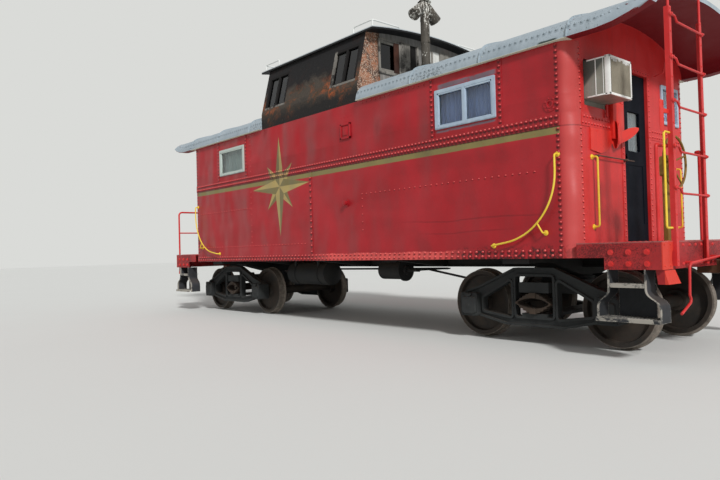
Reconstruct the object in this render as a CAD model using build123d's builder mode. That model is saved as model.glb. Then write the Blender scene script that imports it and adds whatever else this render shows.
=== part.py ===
from build123d import *
from math import asin, atan2, cos, pi, sin, sqrt
import os

# A railway caboose: a steel cabin with a cupola on two four-wheeled trucks.
# +X runs along the car, +Z is up, and z = 0 is the lowest point of the wheel flanges.
# Lengths are millimetres. Ends are a (+X) and b (-X), sides are near (-Y) and far (+Y).

os.makedirs("parts", exist_ok=True)

# Wheels and axles
wheel_d = 838.0
flange_depth = 25.0
flange_t = 32.0
rim_w = 140.0
rim_t = 61.0
back_to_back = 1353.0
hub_r = 125.0
axle_r = 80.0
journal_r = 62.5
journal_span = 1956.0
journal_gap = 6.0

# Trucks
truck_inset = 800.0  # from the end of the cabin back to the middle of the truck
wheelbase = 1830.0
frame_top = 904.0
frame_bottom = 215.0
frame_flat = 540.0
window_w = 500.0
window_bottom = 330.0
window_top = 800.0
frame_web = 44.0
frame_rim_w = 96.0
frame_rim_t = 28.0
frame_nose = 84.0
box_w = 262.0
box_h = 292.0
box_depth = 212.0
box_lid_t = 22.0
plank_t = 36.0
plank_w = 330.0
leaf_count = 4
leaf_t = 13.0
leaf_w = 150.0
buckle_w = 86.0
buckle_t = 9.0
leaf_span = 452.0
bolster_w = 400.0
bolster_end_h = 120.0
bolster_belly = 60.0
bowl_t = 15.0
bowl_rim = 24.0
bowl_depth = 24.0
side_bearing_y = 640.0
side_bearing_h = 48.0
centre_plate_r = 165.0
centre_plate_z = 745.0
bearing_gap = 0.5
bowl_gap = 6.0

# Cabin
body_l = 8530.0
body_w = 2870.0
corner_r = 180.0
wall_t = 75.0
sill_z = 1020.0
eave_z = 3308.0
deck_z = 1173.0
floor_t = 60.0
plate_t = 6.0
plate_lap = 45.0
belt_low = 2420.0
belt_high = 2555.0
sill_plate_h = 120.0
batten_w = 60.0
seam_x = -271.0

# Windows and doors
side_windows = [(-3141.0, -2251.0), (2390.0, 3315.0)]  # low x, high x
window_low = 2646.0
window_high = 3141.0
end_window_in = 505.0  # from the side of the cabin in to the middle of the window
end_window_w = 500.0
window_corner = 12.0
sash_w = 42.0
sash_depth = 60.0
sash_stand = 18.0
glass_t = 6.0
door_opening_w = 620.0
door_opening_h = 2000.0
door_t = 44.0
door_gap = 8.0
door_casing_w = 70.0
door_pane_w = 300.0
door_pane_h = 470.0
door_pane_z = 2480.0
door_panel_h = 700.0
door_panel_z = 560.0  # above the deck
door_panel_sink = 8.0
door_knob_z = 1000.0  # above the deck
door_knob_r = 24.0
door_knob_out = 42.0

# Roof
eave_out = 46.0
roof_shoulder = 254.0
roof_crown = 3775.0
roof_t = 50.0
roof_inner_shoulder = 200.0
roof_short = 26.0  # from the end of the platform back to the end of the roof
upsweep_run = 540.0
upsweep_rise = 140.0

# Cupola
cupola_low = -1640.0
cupola_high = 914.0
cupola_t = 60.0
cupola_band = 255.0
cupola_top_in = 195.0  # from the side of the cabin in to the top of the cupola's side
cupola_crown = 4445.0
cupola_eave_in = 145.0
cupola_arch_rise = 100.0
cupola_roof_t = 40.0
cupola_overhang = 190.0
cupola_window_w = 600.0
cupola_window_inset = 75.0
cupola_sill_up = 70.0
cupola_window_h = 600.0
cupola_end_window_in = 685.0
cupola_end_window_w = 500.0
cupola_end_window_low = 3830.0
cupola_end_window_high = 4300.0
cupola_rail_h = 110.0
cupola_rail_r = 12.0
cupola_rail_long = 420.0
cupola_rail_short = 560.0
cupola_rail_inset = 60.0

# Platforms and underframe
platform_l = 861.0
deck_t = 20.0
end_sill_t = 80.0
end_sill_low = 903.0
end_sill_foot = 140.0
side_plate_t = 12.0
side_plate_start = 297.0
centre_sill_half = 230.0
centre_sill_t = 80.0
centre_sill_low = 885.0
bolster_beam_w = 360.0
bolster_beam_low = 790.0
bolster_beam_high = 960.0
bolster_beam_knee = 900.0
bearer_x = (-2010.0, -300.0, 1400.0)
bearer_w = 100.0

# Steps
lower_tread_in = (649.0, 16.0)  # from the end of the platform back to each end of the tread
upper_tread_in = (532.0, 154.0)
lower_tread_z = 429.0
upper_tread_z = 762.0
lower_tread_out = (-200.0, 40.0)  # from the side of the platform to each edge of the tread
upper_tread_out = (-220.0, 5.0)
tread_t = 8.0
tread_lip = 34.0
hanger_t = 10.0
hanger_knee = 40.0
hanger_foot = 90.0
hanger_trim = 30.0

# Ladders, rails and grabs
ladder_y = (430.0, 1210.0)
ladder_foot = 930.0
angle_leg = 50.0
angle_t = 8.0
ladder_hook_z = 3420.0
ladder_hook_rise = 150.0
ladder_hook_run = 190.0
rung_r = 11.0
rung_drop = 50.0
rung_z = (1625.0, 2025.0, 2459.0, 2876.0, 3287.0)
rail_r = 17.0
rail_top = 2085.0
rail_mid = 1640.0
rail_y_low = 360.0
rail_in = 50.0  # from the side of the platform in to the corner post
grab_r = 11.0
grab_stand = 65.0
side_grab_top = (222.0, 2149.0)  # distance from the end of the cabin, z
side_grab_knee = (250.0, 1225.0)
side_grab_foot = (1095.0, 1171.0)
side_grab_stay = (349.0, 1318.0)
side_grab_bend = 260.0
grab_bend = 24.0
end_grab_in = 375.0
end_grab_low = 1345.0
end_grab_high = 2097.0
corner_grab_out = 120.0  # from the ladder out to the bar
corner_grab_x = 14.0
corner_grab_low = 1295.0
corner_grab_high = 2205.0

# Brake wheel
brake_wheel_d = 545.0
brake_wheel_y = 905.0
brake_wheel_z = 1953.0
brake_rim_r = 12.0
brake_spokes = 5

# Couplers
coupler_z = 889.0
coupler_reach = 374.0
coupler_head_l = 300.0
coupler_play = 60.0
coupler_head_h = 270.0
shank_w = 140.0
shank_h = 150.0
lever_r = 13.0
lever_stand = 76.0
lever_y = (120.0, 1000.0)
lever_rise = (120.0, 60.0)
lever_hangers = (260.0, 900.0)
lever_grip = [(1020.0, 640.0), (960.0, 590.0), (1220.0, 480.0)]  # y, z of the handle's bends
lever_bends = (60.0, 24.0, 40.0)

# Air conditioner and smoke jack
ac_w = 480.0
ac_low = 2705.0
ac_high = 3115.0
ac_depth = 285.0
ac_slats = 7
jack_x = 1600.0
jack_y = -720.0
jack_r = 64.0
jack_fork_z = 4640.0
jack_arm_out = 250.0
jack_arm_drop = 215.0

# Brake gear under the floor
reservoir_x = (-1920.0, -740.0)
reservoir_y = -620.0
reservoir_z = 780.0
reservoir_r = 200.0
strap_y = 150.0
cylinder_x = (450.0, 1000.0)
cylinder_y = -600.0
cylinder_z = 845.0
cylinder_r = 140.0
rod_y = -330.0
far_rod_y = 90.0
rod_end_in = 1315.0  # from the middle of the truck back to the end of the rod
rod_end_z = 690.0
rod_r = 16.0

half_l = body_l / 2
half_w = body_w / 2
platform_end = half_l + platform_l
truck_half_span = half_l - truck_inset
end_window_y = half_w - end_window_in
cupola_top_y = half_w - cupola_top_in
cupola_eave_y = half_w - cupola_eave_in
cupola_end_window_y = half_w - cupola_end_window_in
roof_half_w = half_w + eave_out
roof_end = platform_end - roof_short
upsweep_start = roof_end - upsweep_run
coupler_face = platform_end + coupler_reach
lower_tread_x = [platform_end - inset for inset in lower_tread_in]
upper_tread_x = [platform_end - inset for inset in upper_tread_in]
lower_tread_y = [half_w + out for out in lower_tread_out]
upper_tread_y = [half_w + out for out in upper_tread_out]
rod_end_x = truck_half_span - rod_end_in
wheel_r = wheel_d / 2
axle_z = wheel_r + flange_depth
journal_y = journal_span / 2
journal_end = journal_y + 62
wheel_inner_y = back_to_back / 2
wheel_outer_y = wheel_inner_y + rim_w
inner_half_l = half_l - wall_t
floor_low = deck_z - floor_t
inner_half_w = half_w - wall_t
corner_start_y = half_w - corner_r
cupola_bend_z = eave_z + cupola_band

ends = {"a": 1, "b": -1}
sides = {"near": -1, "far": 1}


def save(part, name):
    """Label one finished piece and write it out."""
    part.label = name
    export_step(part, f"parts/{name}.step")


def side_plane(side, out=0.0):
    """The plane of one side wall's outer face: local x runs along the car, local y is up."""
    return Plane(origin=(0, side * (half_w + out), 0), x_dir=(-side, 0, 0), z_dir=(0, side, 0))


def end_plane(end, x):
    """A plane across the car at distance x: local x runs across, local y is up."""
    return Plane(origin=(end * x, 0, 0), x_dir=(0, end, 0), z_dir=(end, 0, 0))


def shoulder_arch(half, shoulder, z0, crown):
    """A roof outline from one eave to the other: two shoulder arcs and one wide arc."""
    rise = crown - z0
    wide = ((half - shoulder) ** 2 + rise**2 - shoulder**2) / (2 * (rise - shoulder))
    lean = atan2(half - shoulder, wide - rise)
    half_turn = (pi / 2 - lean) / 2
    knee = (half - shoulder + shoulder * sin(lean), z0 + shoulder * cos(lean))
    bend = (half - shoulder + shoulder * cos(half_turn), z0 + shoulder * sin(half_turn))
    ThreePointArc((half, z0), bend, knee)
    ThreePointArc(knee, (0, crown), (-knee[0], knee[1]))
    ThreePointArc((-knee[0], knee[1]), (-bend[0], bend[1]), (-half, z0))
    Line((-half, z0), (half, z0))


def roof_top_z(y):
    """Height of the main roof's outer surface at a distance y from the centre line."""
    rise = roof_crown - eave_z
    run = roof_half_w - roof_shoulder
    wide = (run**2 + rise**2 - roof_shoulder**2) / (2 * (rise - roof_shoulder))
    return roof_crown - wide + sqrt(wide**2 - y**2)


def cupola_arch_z(y, lift=0.0):
    """Height of the cupola roof's underside, or of a surface above it, at a distance y."""
    radius = (cupola_eave_y**2 + cupola_arch_rise**2) / (2 * cupola_arch_rise)
    return cupola_crown + lift - radius + sqrt(radius**2 - y**2)


def outline(*points, rounding=0, mode=Mode.ADD):
    """A closed face with straight edges and even corner arcs in the sketch that is open."""
    with BuildLine() as edges:
        if rounding:
            FilletPolyline(*points, radius=rounding, close=True)
        else:
            Polyline(*points, close=True)
    make_face(edges.edges(), mode=mode)


def bar(points, radius, bend):
    """A round bar along straight runs joined by arcs."""
    with BuildPart() as rod:
        with BuildLine() as path:
            if len(points) > 2:
                FilletPolyline(*points, radius=bend)
            else:
                Line(*points)
        with BuildSketch(Plane(origin=path.line @ 0, z_dir=path.line % 0)):
            Circle(radius)
        sweep()
    return rod.part


# Side walls: a flat side with a quarter-round corner at each end
for name, side in sides.items():
    with BuildPart() as side_wall:
        with BuildSketch(Plane.XY.offset(sill_z)):
            RectangleRounded(body_l, body_w, corner_r)
            RectangleRounded(2 * inner_half_l, 2 * inner_half_w, corner_r - wall_t, mode=Mode.SUBTRACT)
            with Locations((0, side * (half_w - corner_r / 2))):
                Rectangle(body_l, corner_r, mode=Mode.INTERSECT)
        extrude(amount=eave_z - sill_z)
        with BuildSketch(side_plane(side)):
            flat = body_l - 2 * corner_r
            with Locations((0, (belt_low + belt_high) / 2)):
                Rectangle(flat + 2 * plate_lap, belt_high - belt_low)
            with Locations((0, sill_z + sill_plate_h / 2)):
                Rectangle(flat + 2 * plate_lap, sill_plate_h)
            with Locations((-side * seam_x, (sill_z + belt_low) / 2)):
                Rectangle(batten_w, belt_low - sill_z)
            for low, high in side_windows:
                for x in (low - batten_w, high + batten_w):
                    with Locations((-side * x, (belt_high + eave_z) / 2)):
                        Rectangle(batten_w, eave_z - belt_high)
        extrude(amount=plate_t)
        with BuildSketch(side_plane(side, plate_t)):
            for low, high in side_windows:
                with Locations((-side * (low + high) / 2, (window_low + window_high) / 2)):
                    RectangleRounded(high - low, window_high - window_low, window_corner)
        extrude(amount=-corner_r, mode=Mode.SUBTRACT)
    save(side_wall.part, f"side_wall_{name}")

# End walls: flat between the corners, and closed up to the ceiling
for name, end in ends.items():
    with BuildPart() as end_wall:
        with BuildSketch(end_plane(end, inner_half_l)):
            with Locations((0, (floor_low + eave_z) / 2)):
                Rectangle(2 * corner_start_y, eave_z - floor_low)
            with BuildLine():
                shoulder_arch(inner_half_w, roof_inner_shoulder, eave_z, roof_crown - roof_t)
            make_face()
            with Locations((0, deck_z + door_opening_h / 2)):
                Rectangle(door_opening_w, door_opening_h, mode=Mode.SUBTRACT)
            with Locations(*[(s * end_window_y, (window_low + window_high) / 2) for s in (-1, 1)]):
                RectangleRounded(end_window_w, window_high - window_low, window_corner, mode=Mode.SUBTRACT)
        extrude(amount=wall_t)
        with BuildSketch(end_plane(end, half_l)):
            with Locations((0, deck_z + (door_opening_h + door_casing_w) / 2)):
                Rectangle(door_opening_w + 2 * door_casing_w, door_opening_h + door_casing_w)
            with Locations((0, deck_z + door_opening_h / 2)):
                Rectangle(door_opening_w, door_opening_h, mode=Mode.SUBTRACT)
            belt_y = door_opening_w / 2 + door_casing_w
            for s in (-1, 1):
                with Locations((s * (belt_y + corner_start_y) / 2, (belt_low + belt_high) / 2)):
                    Rectangle(corner_start_y - belt_y, belt_high - belt_low)
        extrude(amount=plate_t)
    save(end_wall.part, f"end_wall_{name}")

# Floor
with BuildPart() as floor:
    with BuildSketch(Plane.XY.offset(deck_z - floor_t)):
        RectangleRounded(2 * inner_half_l, 2 * inner_half_w, corner_r - wall_t)
    extrude(amount=floor_t)
    chamfer(floor.edges().group_by(Axis.Z)[0].filter_by(Axis.X), 8)
save(floor.part, "floor")

roofs = {}

# Main roof: one length at each end of the cupola, with its eave swept up over the platform
roof_span = {"a": (cupola_high, roof_end), "b": (-cupola_low, roof_end)}
for name, end in ends.items():
    start, stop = roof_span[name]
    with BuildPart() as roof:
        with BuildSketch(end_plane(end, start)):
            with BuildLine():
                shoulder_arch(roof_half_w, roof_shoulder, eave_z, roof_crown)
            make_face()
            with BuildSketch(mode=Mode.SUBTRACT):
                with BuildLine():
                    shoulder_arch(inner_half_w, roof_inner_shoulder, eave_z, roof_crown - roof_t)
                make_face()
        extrude(amount=stop - start)
        with BuildSketch(Plane.XZ):
            with BuildLine():
                middle = (upsweep_start + roof_end) / 2
                rise_start = (end * upsweep_start, eave_z)
                rise_end = (end * roof_end, eave_z + upsweep_rise)
                ThreePointArc(rise_start, (end * middle, eave_z + upsweep_rise / 4), rise_end)
                Polyline(rise_end, (end * roof_end, eave_z - roof_t),
                         (end * upsweep_start, eave_z - roof_t),
                         rise_start)
            make_face()
        extrude(amount=roof_half_w + roof_t, both=True, mode=Mode.SUBTRACT)
    roofs[name] = roof.part
    save(roof.part, f"main_roof_{name}")


def cupola_outline(inset, foot_z):
    """The cupola's cross-section: an upright band, leaning sides and an arched top."""
    foot = half_w - inset
    top = cupola_top_y - inset
    top_z = cupola_arch_z(cupola_top_y) if inset == 0 else cupola_arch_z(top)
    Polyline((-top, top_z), (-foot, cupola_bend_z), (-foot, foot_z), (foot, foot_z), (foot, cupola_bend_z),
             (top, top_z))
    ThreePointArc((top, top_z), (0, cupola_crown), (-top, top_z))


def cupola_side_plane(side):
    """The leaning plane of one cupola side, with its origin at the foot of the slope."""
    lean = (0, side * (cupola_top_y - half_w), cupola_arch_z(cupola_top_y) - cupola_bend_z)
    normal = Vector(0, lean[2], -lean[1])
    return Plane(origin=(0, side * half_w, cupola_bend_z), x_dir=(-side, 0, 0), z_dir=normal * side)


# Cupola walls
cupola_l = cupola_high - cupola_low
cupola_side_x = [cupola_low + cupola_window_inset + cupola_window_w / 2,
                 cupola_high - cupola_window_inset - cupola_window_w / 2]
with BuildPart() as cupola:
    with BuildSketch(Plane.YZ.offset(cupola_low)):
        with BuildLine():
            cupola_outline(0, eave_z)
        make_face()
    extrude(amount=cupola_l)
    with BuildSketch(Plane.YZ.offset(cupola_low + cupola_t)):
        with BuildLine():
            cupola_outline(cupola_t, eave_z)
        make_face()
    extrude(amount=cupola_l - 2 * cupola_t, mode=Mode.SUBTRACT)
    with BuildSketch(Plane.YZ.offset(cupola_low)):
        with BuildLine():
            shoulder_arch(inner_half_w, roof_inner_shoulder, eave_z, roof_crown - roof_t)
        make_face()
    extrude(amount=cupola_l, mode=Mode.SUBTRACT)
    for side in sides.values():
        with BuildSketch(cupola_side_plane(side)):
            with Locations(*[(-side * x, cupola_sill_up + cupola_window_h / 2) for x in cupola_side_x]):
                RectangleRounded(cupola_window_w, cupola_window_h, window_corner)
        extrude(amount=2 * cupola_t, both=True, mode=Mode.SUBTRACT)
    with BuildSketch(Plane.YZ.offset(cupola_low)):
        z = (cupola_end_window_low + cupola_end_window_high) / 2
        with Locations(*[(s * cupola_end_window_y, z) for s in (-1, 1)]):
            RectangleRounded(cupola_end_window_w, cupola_end_window_high - cupola_end_window_low,
                             window_corner)
    extrude(amount=cupola_l, mode=Mode.SUBTRACT)
save(cupola.part, "cupola_walls")

# Cupola roof: a shallow arched sheet that overhangs the end walls
with BuildPart() as cupola_roof:
    with BuildSketch(Plane.YZ.offset(cupola_low - cupola_overhang)):
        with BuildLine():
            low = (cupola_eave_y, cupola_arch_z(cupola_eave_y))
            high = (cupola_eave_y, low[1] + cupola_roof_t)
            ThreePointArc(low, (0, cupola_crown), (-low[0], low[1]))
            Line((-low[0], low[1]), (-high[0], high[1]))
            ThreePointArc((-high[0], high[1]), (0, cupola_crown + cupola_roof_t), high)
            Line(high, low)
        make_face()
    extrude(amount=cupola_l + 2 * cupola_overhang)
save(cupola_roof.part, "cupola_roof")

# Rails on the cupola roof's corners
rail_foot_z = cupola_arch_z(cupola_eave_y - cupola_rail_inset, cupola_roof_t) - 4
with BuildPart() as cupola_rails:
    for end, corner_x in ((1, cupola_high + cupola_overhang), (-1, cupola_low - cupola_overhang)):
        for side in sides.values():
            x = corner_x - end * cupola_rail_inset
            y = side * (cupola_eave_y - cupola_rail_inset)
            back = x - end * cupola_rail_long
            inner = y - side * cupola_rail_short
            inner_z = cupola_arch_z(abs(inner), cupola_roof_t) - 4
            top = rail_foot_z + cupola_rail_h
            add(bar([(back, y, rail_foot_z), (back, y, top), (x, y, top), (x, inner, top),
                     (x, inner, inner_z)], cupola_rail_r, 38))
            add(bar([(x, y, rail_foot_z), (x, y, top - cupola_rail_r / 2)], cupola_rail_r, 38))
    add(cupola_roof.part, mode=Mode.SUBTRACT)
save(cupola_rails.part, "cupola_rails")


def pane_places(width, mullion):
    """The centre and width of each pane across a window of the given width."""
    clear = width - 2 * sash_w
    if not mullion:
        return [(0, clear)]
    pane = (clear - sash_w) / 2
    return [(-(pane + sash_w) / 2, pane), ((pane + sash_w) / 2, pane)]


def window(plane, x, z, width, height, mullion=False):
    """One window in its wall's plane: a frame and its panes, each as a solid."""
    with BuildPart() as frame:
        with BuildSketch(plane):
            with Locations((x, z)):
                RectangleRounded(width, height, window_corner)
            for shift, pane in pane_places(width, mullion):
                with Locations((x + shift, z)):
                    Rectangle(pane, height - 2 * sash_w, mode=Mode.SUBTRACT)
        extrude(amount=-sash_depth)
    with BuildPart() as panes:
        with BuildSketch(plane.offset(-sash_depth / 2)):
            for shift, pane in pane_places(width, mullion):
                with Locations((x + shift, z)):
                    Rectangle(pane, height - 2 * sash_w)
        extrude(amount=-glass_t)
    return frame.part, panes.part


# Windows of the cabin: an air conditioner takes the place of one at end a
window_h = window_high - window_low
window_z = (window_low + window_high) / 2
panes_made = []
with BuildPart() as frames:
    for side in sides.values():
        for low, high in side_windows:
            frame, panes = window(side_plane(side, sash_stand), -side * (low + high) / 2, window_z,
                                  high - low, window_h, high > 0)
            add(frame)
            panes_made.append(panes)
    for name, end in ends.items():
        for y in (-end_window_y, end_window_y):
            if name == "a" and y < 0:
                continue
            frame, panes = window(end_plane(end, half_l + sash_stand), y, window_z, end_window_w, window_h)
            add(frame)
            panes_made.append(panes)
save(frames.part, "window_frames")

# Windows of the cupola
with BuildPart() as cupola_frames:
    for side in sides.values():
        for x in cupola_side_x:
            frame, panes = window(cupola_side_plane(side), -side * x, cupola_sill_up + cupola_window_h / 2,
                                  cupola_window_w, cupola_window_h, True)
            add(frame)
            panes_made.append(panes)
    cupola_end_h = cupola_end_window_high - cupola_end_window_low
    cupola_end_z = (cupola_end_window_low + cupola_end_window_high) / 2
    for end, x in ((1, cupola_high), (-1, -cupola_low)):
        for y in (-cupola_end_window_y, cupola_end_window_y):
            frame, panes = window(end_plane(end, x), y, cupola_end_z, cupola_end_window_w, cupola_end_h)
            add(frame)
            panes_made.append(panes)
save(cupola_frames.part, "cupola_frames")

with BuildPart() as glass:
    for panes in panes_made:
        add(panes)
save(glass.part, "window_glass")

# Doors: each is hung on its inner face and opens into the cabin
door_w = door_opening_w - 2 * door_gap
door_h = door_opening_h - 2 * door_gap
for name, end in ends.items():
    plane = end_plane(end, inner_half_l)
    with BuildPart() as door:
        with BuildSketch(plane):
            with Locations((0, deck_z + door_gap + door_h / 2)):
                Rectangle(door_w, door_h)
            with Locations((0, door_pane_z)):
                RectangleRounded(door_pane_w, door_pane_h, 20, mode=Mode.SUBTRACT)
        extrude(amount=door_t)
        with BuildSketch(plane.offset(door_t)):
            with Locations((0, deck_z + door_panel_z)):
                RectangleRounded(door_w - 180, door_panel_h, 12)
        extrude(amount=-door_panel_sink, mode=Mode.SUBTRACT)
        with BuildSketch(plane.offset(door_t)):
            with Locations((-door_w / 2 + 55, deck_z + door_knob_z)):
                Circle(door_knob_r)
        extrude(amount=door_knob_out, taper=-6)
    save(door.part, f"door_{name}")
    with BuildPart() as door_glass:
        with BuildSketch(plane.offset(door_t / 2 - glass_t / 2)):
            with Locations((0, door_pane_z)):
                RectangleRounded(door_pane_w, door_pane_h, 20)
        extrude(amount=glass_t)
    save(door_glass.part, f"door_glass_{name}")

# Underframe: centre sill, body bolsters with their centre plates, and cross bearers
with BuildPart() as underframe:
    for side in sides.values():
        with BuildSketch(Plane.YZ.offset(-platform_end + end_sill_t)):
            middle = side * (centre_sill_half - centre_sill_t / 2)
            with Locations((middle, (centre_sill_low + floor_low) / 2)):
                Rectangle(16, floor_low - centre_sill_low)
            for z in (centre_sill_low + 8, floor_low - 8):
                with Locations((middle, z)):
                    Rectangle(centre_sill_t, 16)
        extrude(amount=2 * (platform_end - end_sill_t))
    for end in ends.values():
        with BuildSketch(Plane.YZ.offset(end * truck_half_span - bolster_beam_w / 2)):
            outline((-inner_half_w, floor_low), (-inner_half_w, bolster_beam_high),
                    (-bolster_beam_knee, bolster_beam_high), (-centre_sill_half, bolster_beam_low),
                    (centre_sill_half, bolster_beam_low), (bolster_beam_knee, bolster_beam_high),
                    (inner_half_w, bolster_beam_high), (inner_half_w, floor_low))
        extrude(amount=bolster_beam_w)
        with BuildSketch(Plane.XY.offset(centre_plate_z)):
            with Locations((end * truck_half_span, 0)):
                Circle(centre_plate_r)
        extrude(amount=bolster_beam_low - centre_plate_z)
    for x in bearer_x:
        with BuildSketch(Plane.YZ.offset(x - bearer_w / 2)):
            outline((-inner_half_w, floor_low), (-inner_half_w, sill_z),
                    (-centre_sill_half, centre_sill_low),
                    (centre_sill_half, centre_sill_low), (inner_half_w, sill_z), (inner_half_w, floor_low))
        extrude(amount=bearer_w)
save(underframe.part, "underframe")

# Platforms: deck, end sill, side plates and the flared feet at the corners
for name, end in ends.items():
    with BuildPart() as platform:
        with BuildSketch(Plane.XY.offset(deck_z - deck_t)):
            with Locations((end * (half_l + platform_l / 2), 0)):
                Rectangle(platform_l, body_w)
        extrude(amount=deck_t)
        with BuildSketch(end_plane(end, platform_end)):
            with Locations((0, (end_sill_low + deck_z) / 2)):
                Rectangle(body_w, deck_z - end_sill_low)
            with Locations((0, coupler_z)):
                Rectangle(shank_w + coupler_play, shank_h + coupler_play, mode=Mode.SUBTRACT)
        extrude(amount=-end_sill_t)
        for side in sides.values():
            with BuildSketch(side_plane(side)):
                k = -side * end
                outline((k * half_l, deck_z), (k * platform_end, deck_z), (k * platform_end, end_sill_low),
                        (k * (half_l + side_plate_start), end_sill_low),
                        (k * (half_l + side_plate_start), sill_z), (k * half_l, sill_z))
            extrude(amount=-side_plate_t)
            with BuildSketch(Plane.XY.offset(end_sill_low)):
                with Locations((end * (platform_end - end_sill_t / 2), side * (half_w - 165))):
                    Rectangle(end_sill_t, 230)
            with BuildSketch(Plane.XY.offset(end_sill_low - end_sill_foot)):
                with Locations((end * (platform_end - end_sill_t / 2 + 26), side * (half_w - 190))):
                    Rectangle(end_sill_t + 20, 270)
            loft()
    save(platform.part, f"platform_{name}")

# Steps: two treads between hangers that flare out towards the lower tread
for name, end in ends.items():
    with BuildPart() as steps:
        for side in sides.values():
            for (low, high), z, (inner, outer) in (
                    (lower_tread_x, lower_tread_z, lower_tread_y),
                    (upper_tread_x, upper_tread_z, upper_tread_y)):
                with BuildSketch(Plane.YZ.offset(low if end > 0 else -high)):
                    outline((side * inner, z - tread_t), (side * (outer - tread_t), z - tread_t),
                            (side * (outer - tread_t), z - tread_lip), (side * outer, z - tread_lip),
                            (side * outer, z), (side * inner, z))
                extrude(amount=high - low)
            with BuildSketch(Plane.XZ.offset(-side * lower_tread_y[0])):
                for upper_x, lower_x in zip(upper_tread_x, lower_tread_x):
                    inner = hanger_t if upper_x > lower_x else -hanger_t
                    with BuildLine():
                        for shift in (0, inner):
                            knee = (end * (upper_x + shift), upper_tread_z - hanger_knee)
                            foot = (end * (lower_x + shift), lower_tread_z + hanger_foot)
                            Line((knee[0], end_sill_low), knee)
                            Spline(knee, foot, tangents=((0, -1), (0, -1)))
                            Line(foot, (foot[0], lower_tread_z - tread_lip))
                        for x, z in ((upper_x, end_sill_low), (lower_x, lower_tread_z - tread_lip)):
                            Line((end * x, z), (end * (x + inner), z))
                    make_face()
            extrude(amount=side * -(lower_tread_y[1] - lower_tread_y[0] - hanger_trim))
            with BuildSketch(Plane.XZ.offset(-side * (lower_tread_y[0] - tread_t))):
                with Locations((end * (lower_tread_x[0] + lower_tread_x[1]) / 2,
                                (lower_tread_z + upper_tread_z) / 2 - tread_t)):
                    Rectangle(upper_tread_x[1] - upper_tread_x[0], upper_tread_z - lower_tread_z)
            extrude(amount=side * -tread_t)
    save(steps.part, f"steps_{name}")

# Couplers: a shank through the end sill, and a head with its knuckle closed
for name, end in ends.items():
    with BuildPart() as coupler:
        with BuildSketch(end_plane(end, platform_end - 210)):
            with Locations((0, coupler_z)):
                RectangleRounded(shank_w, shank_h, 14)
        extrude(amount=196 + coupler_reach - coupler_head_l)
        head_x = end * (coupler_face - coupler_head_l)
        with BuildSketch(Plane.XY.offset(coupler_z - coupler_head_h / 2)):
            with BuildLine():
                shank = shank_w / 2
                Polyline((head_x, -end * shank), (head_x + end * 70, -end * 150),
                         (head_x + end * 150, -end * 168),
                         (head_x + end * 330, -end * 178), (head_x + end * 338, -end * 140),
                         (head_x + end * 215, -end * 92))
                ThreePointArc((head_x + end * 215, -end * 92), (head_x + end * 165, -end * 20),
                              (head_x + end * 205, end * 48))
                Polyline((head_x + end * 205, end * 48), (head_x + end * 215, end * 150),
                         (head_x + end * 70, end * 160), (head_x, end * shank), (head_x, -end * shank))
            make_face()
        extrude(amount=coupler_head_h)
        with BuildSketch(Plane.XY.offset(coupler_z - coupler_head_h / 2 + 25)):
            with BuildLine():
                Polyline((head_x + end * 198, end * 40), (head_x + end * 262, -end * 10))
                ThreePointArc((head_x + end * 262, -end * 10), (head_x + end * 300, -end * 8),
                              (head_x + end * 300, end * 30))
                ThreePointArc((head_x + end * 300, end * 30), (head_x + end * 292, end * 108),
                              (head_x + end * 205, end * 152))
                Line((head_x + end * 205, end * 152), (head_x + end * 198, end * 40))
            make_face()
        extrude(amount=coupler_head_h - 50)
    save(coupler.part, f"coupler_{name}")


def wheelset_profile():
    """Half of a wheelset's section from the middle of the axle outwards: local x is along the axle."""
    back = wheel_inner_y
    face = wheel_outer_y
    plate = (back + face) / 2
    return [
        (0, 0), (0, axle_r - 6), (back - 60, axle_r), (back - 28, axle_r + 5), (back - 28, hub_r),
        (plate - 26, hub_r + 16), (plate - 12, wheel_r - rim_t - 10), (back, wheel_r - rim_t + 4),
        (back, wheel_r + flange_depth - 12), (back + 9, wheel_r + flange_depth),
        (back + flange_t - 10, wheel_r + flange_depth), (back + flange_t + 6, wheel_r + 2),
        (face, wheel_r - 3), (face, wheel_r - rim_t + 4), (plate + 20, wheel_r - rim_t - 10),
        (plate + 36, hub_r + 16), (face + 14, hub_r), (face + 14, axle_r), (face + 32, journal_r),
        (journal_end, journal_r), (journal_end, 0),
    ]


# Wheelsets: an axle and its two wheels turned as one body
wheelset_x = [(e * truck_half_span + k * wheelbase / 2) for e, k in ((1, 1), (1, -1), (-1, 1), (-1, -1))]
for number, x in enumerate(wheelset_x, start=1):
    with BuildPart() as wheelset:
        with BuildSketch(Plane(origin=(x, 0, axle_z), x_dir=(0, 1, 0), z_dir=(1, 0, 0))):
            half = wheelset_profile()
            outline(*half)
            outline(*[(-a, r) for a, r in half])
        revolve(axis=Axis((x, 0, axle_z), (0, 1, 0)))
    save(wheelset.part, f"wheelset_{number}")


def side_frame_face():
    """A truck side frame about the truck's centre: arched top, bolster window, open arms."""
    half_base = wheelbase / 2
    flat = frame_flat / 2
    inner = half_base - box_w / 2
    outer = half_base + box_w / 2
    box_low = axle_z - box_h / 2
    box_high = axle_z + box_h / 2
    right = [(flat, frame_top), (inner + 20, box_high + frame_nose), (outer - 60, box_high + 30),
             (outer, box_high - 20),
             (outer, box_low), (inner, box_low), (flat + 130, frame_bottom)]
    left = [(-x, z) for x, z in reversed(right)]
    outline(*right, *left, rounding=34)
    with Locations((0, (window_bottom + window_top) / 2)):
        RectangleRounded(window_w, window_top - window_bottom, 26, mode=Mode.SUBTRACT)
    post = window_w / 2 + frame_post
    for k in (-1, 1):
        outline((k * post, window_top - 46), (k * arm_reach, axle_z + 84), (k * arm_reach, axle_z - 70),
                (k * post, window_bottom - 14), rounding=24, mode=Mode.SUBTRACT)


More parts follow.
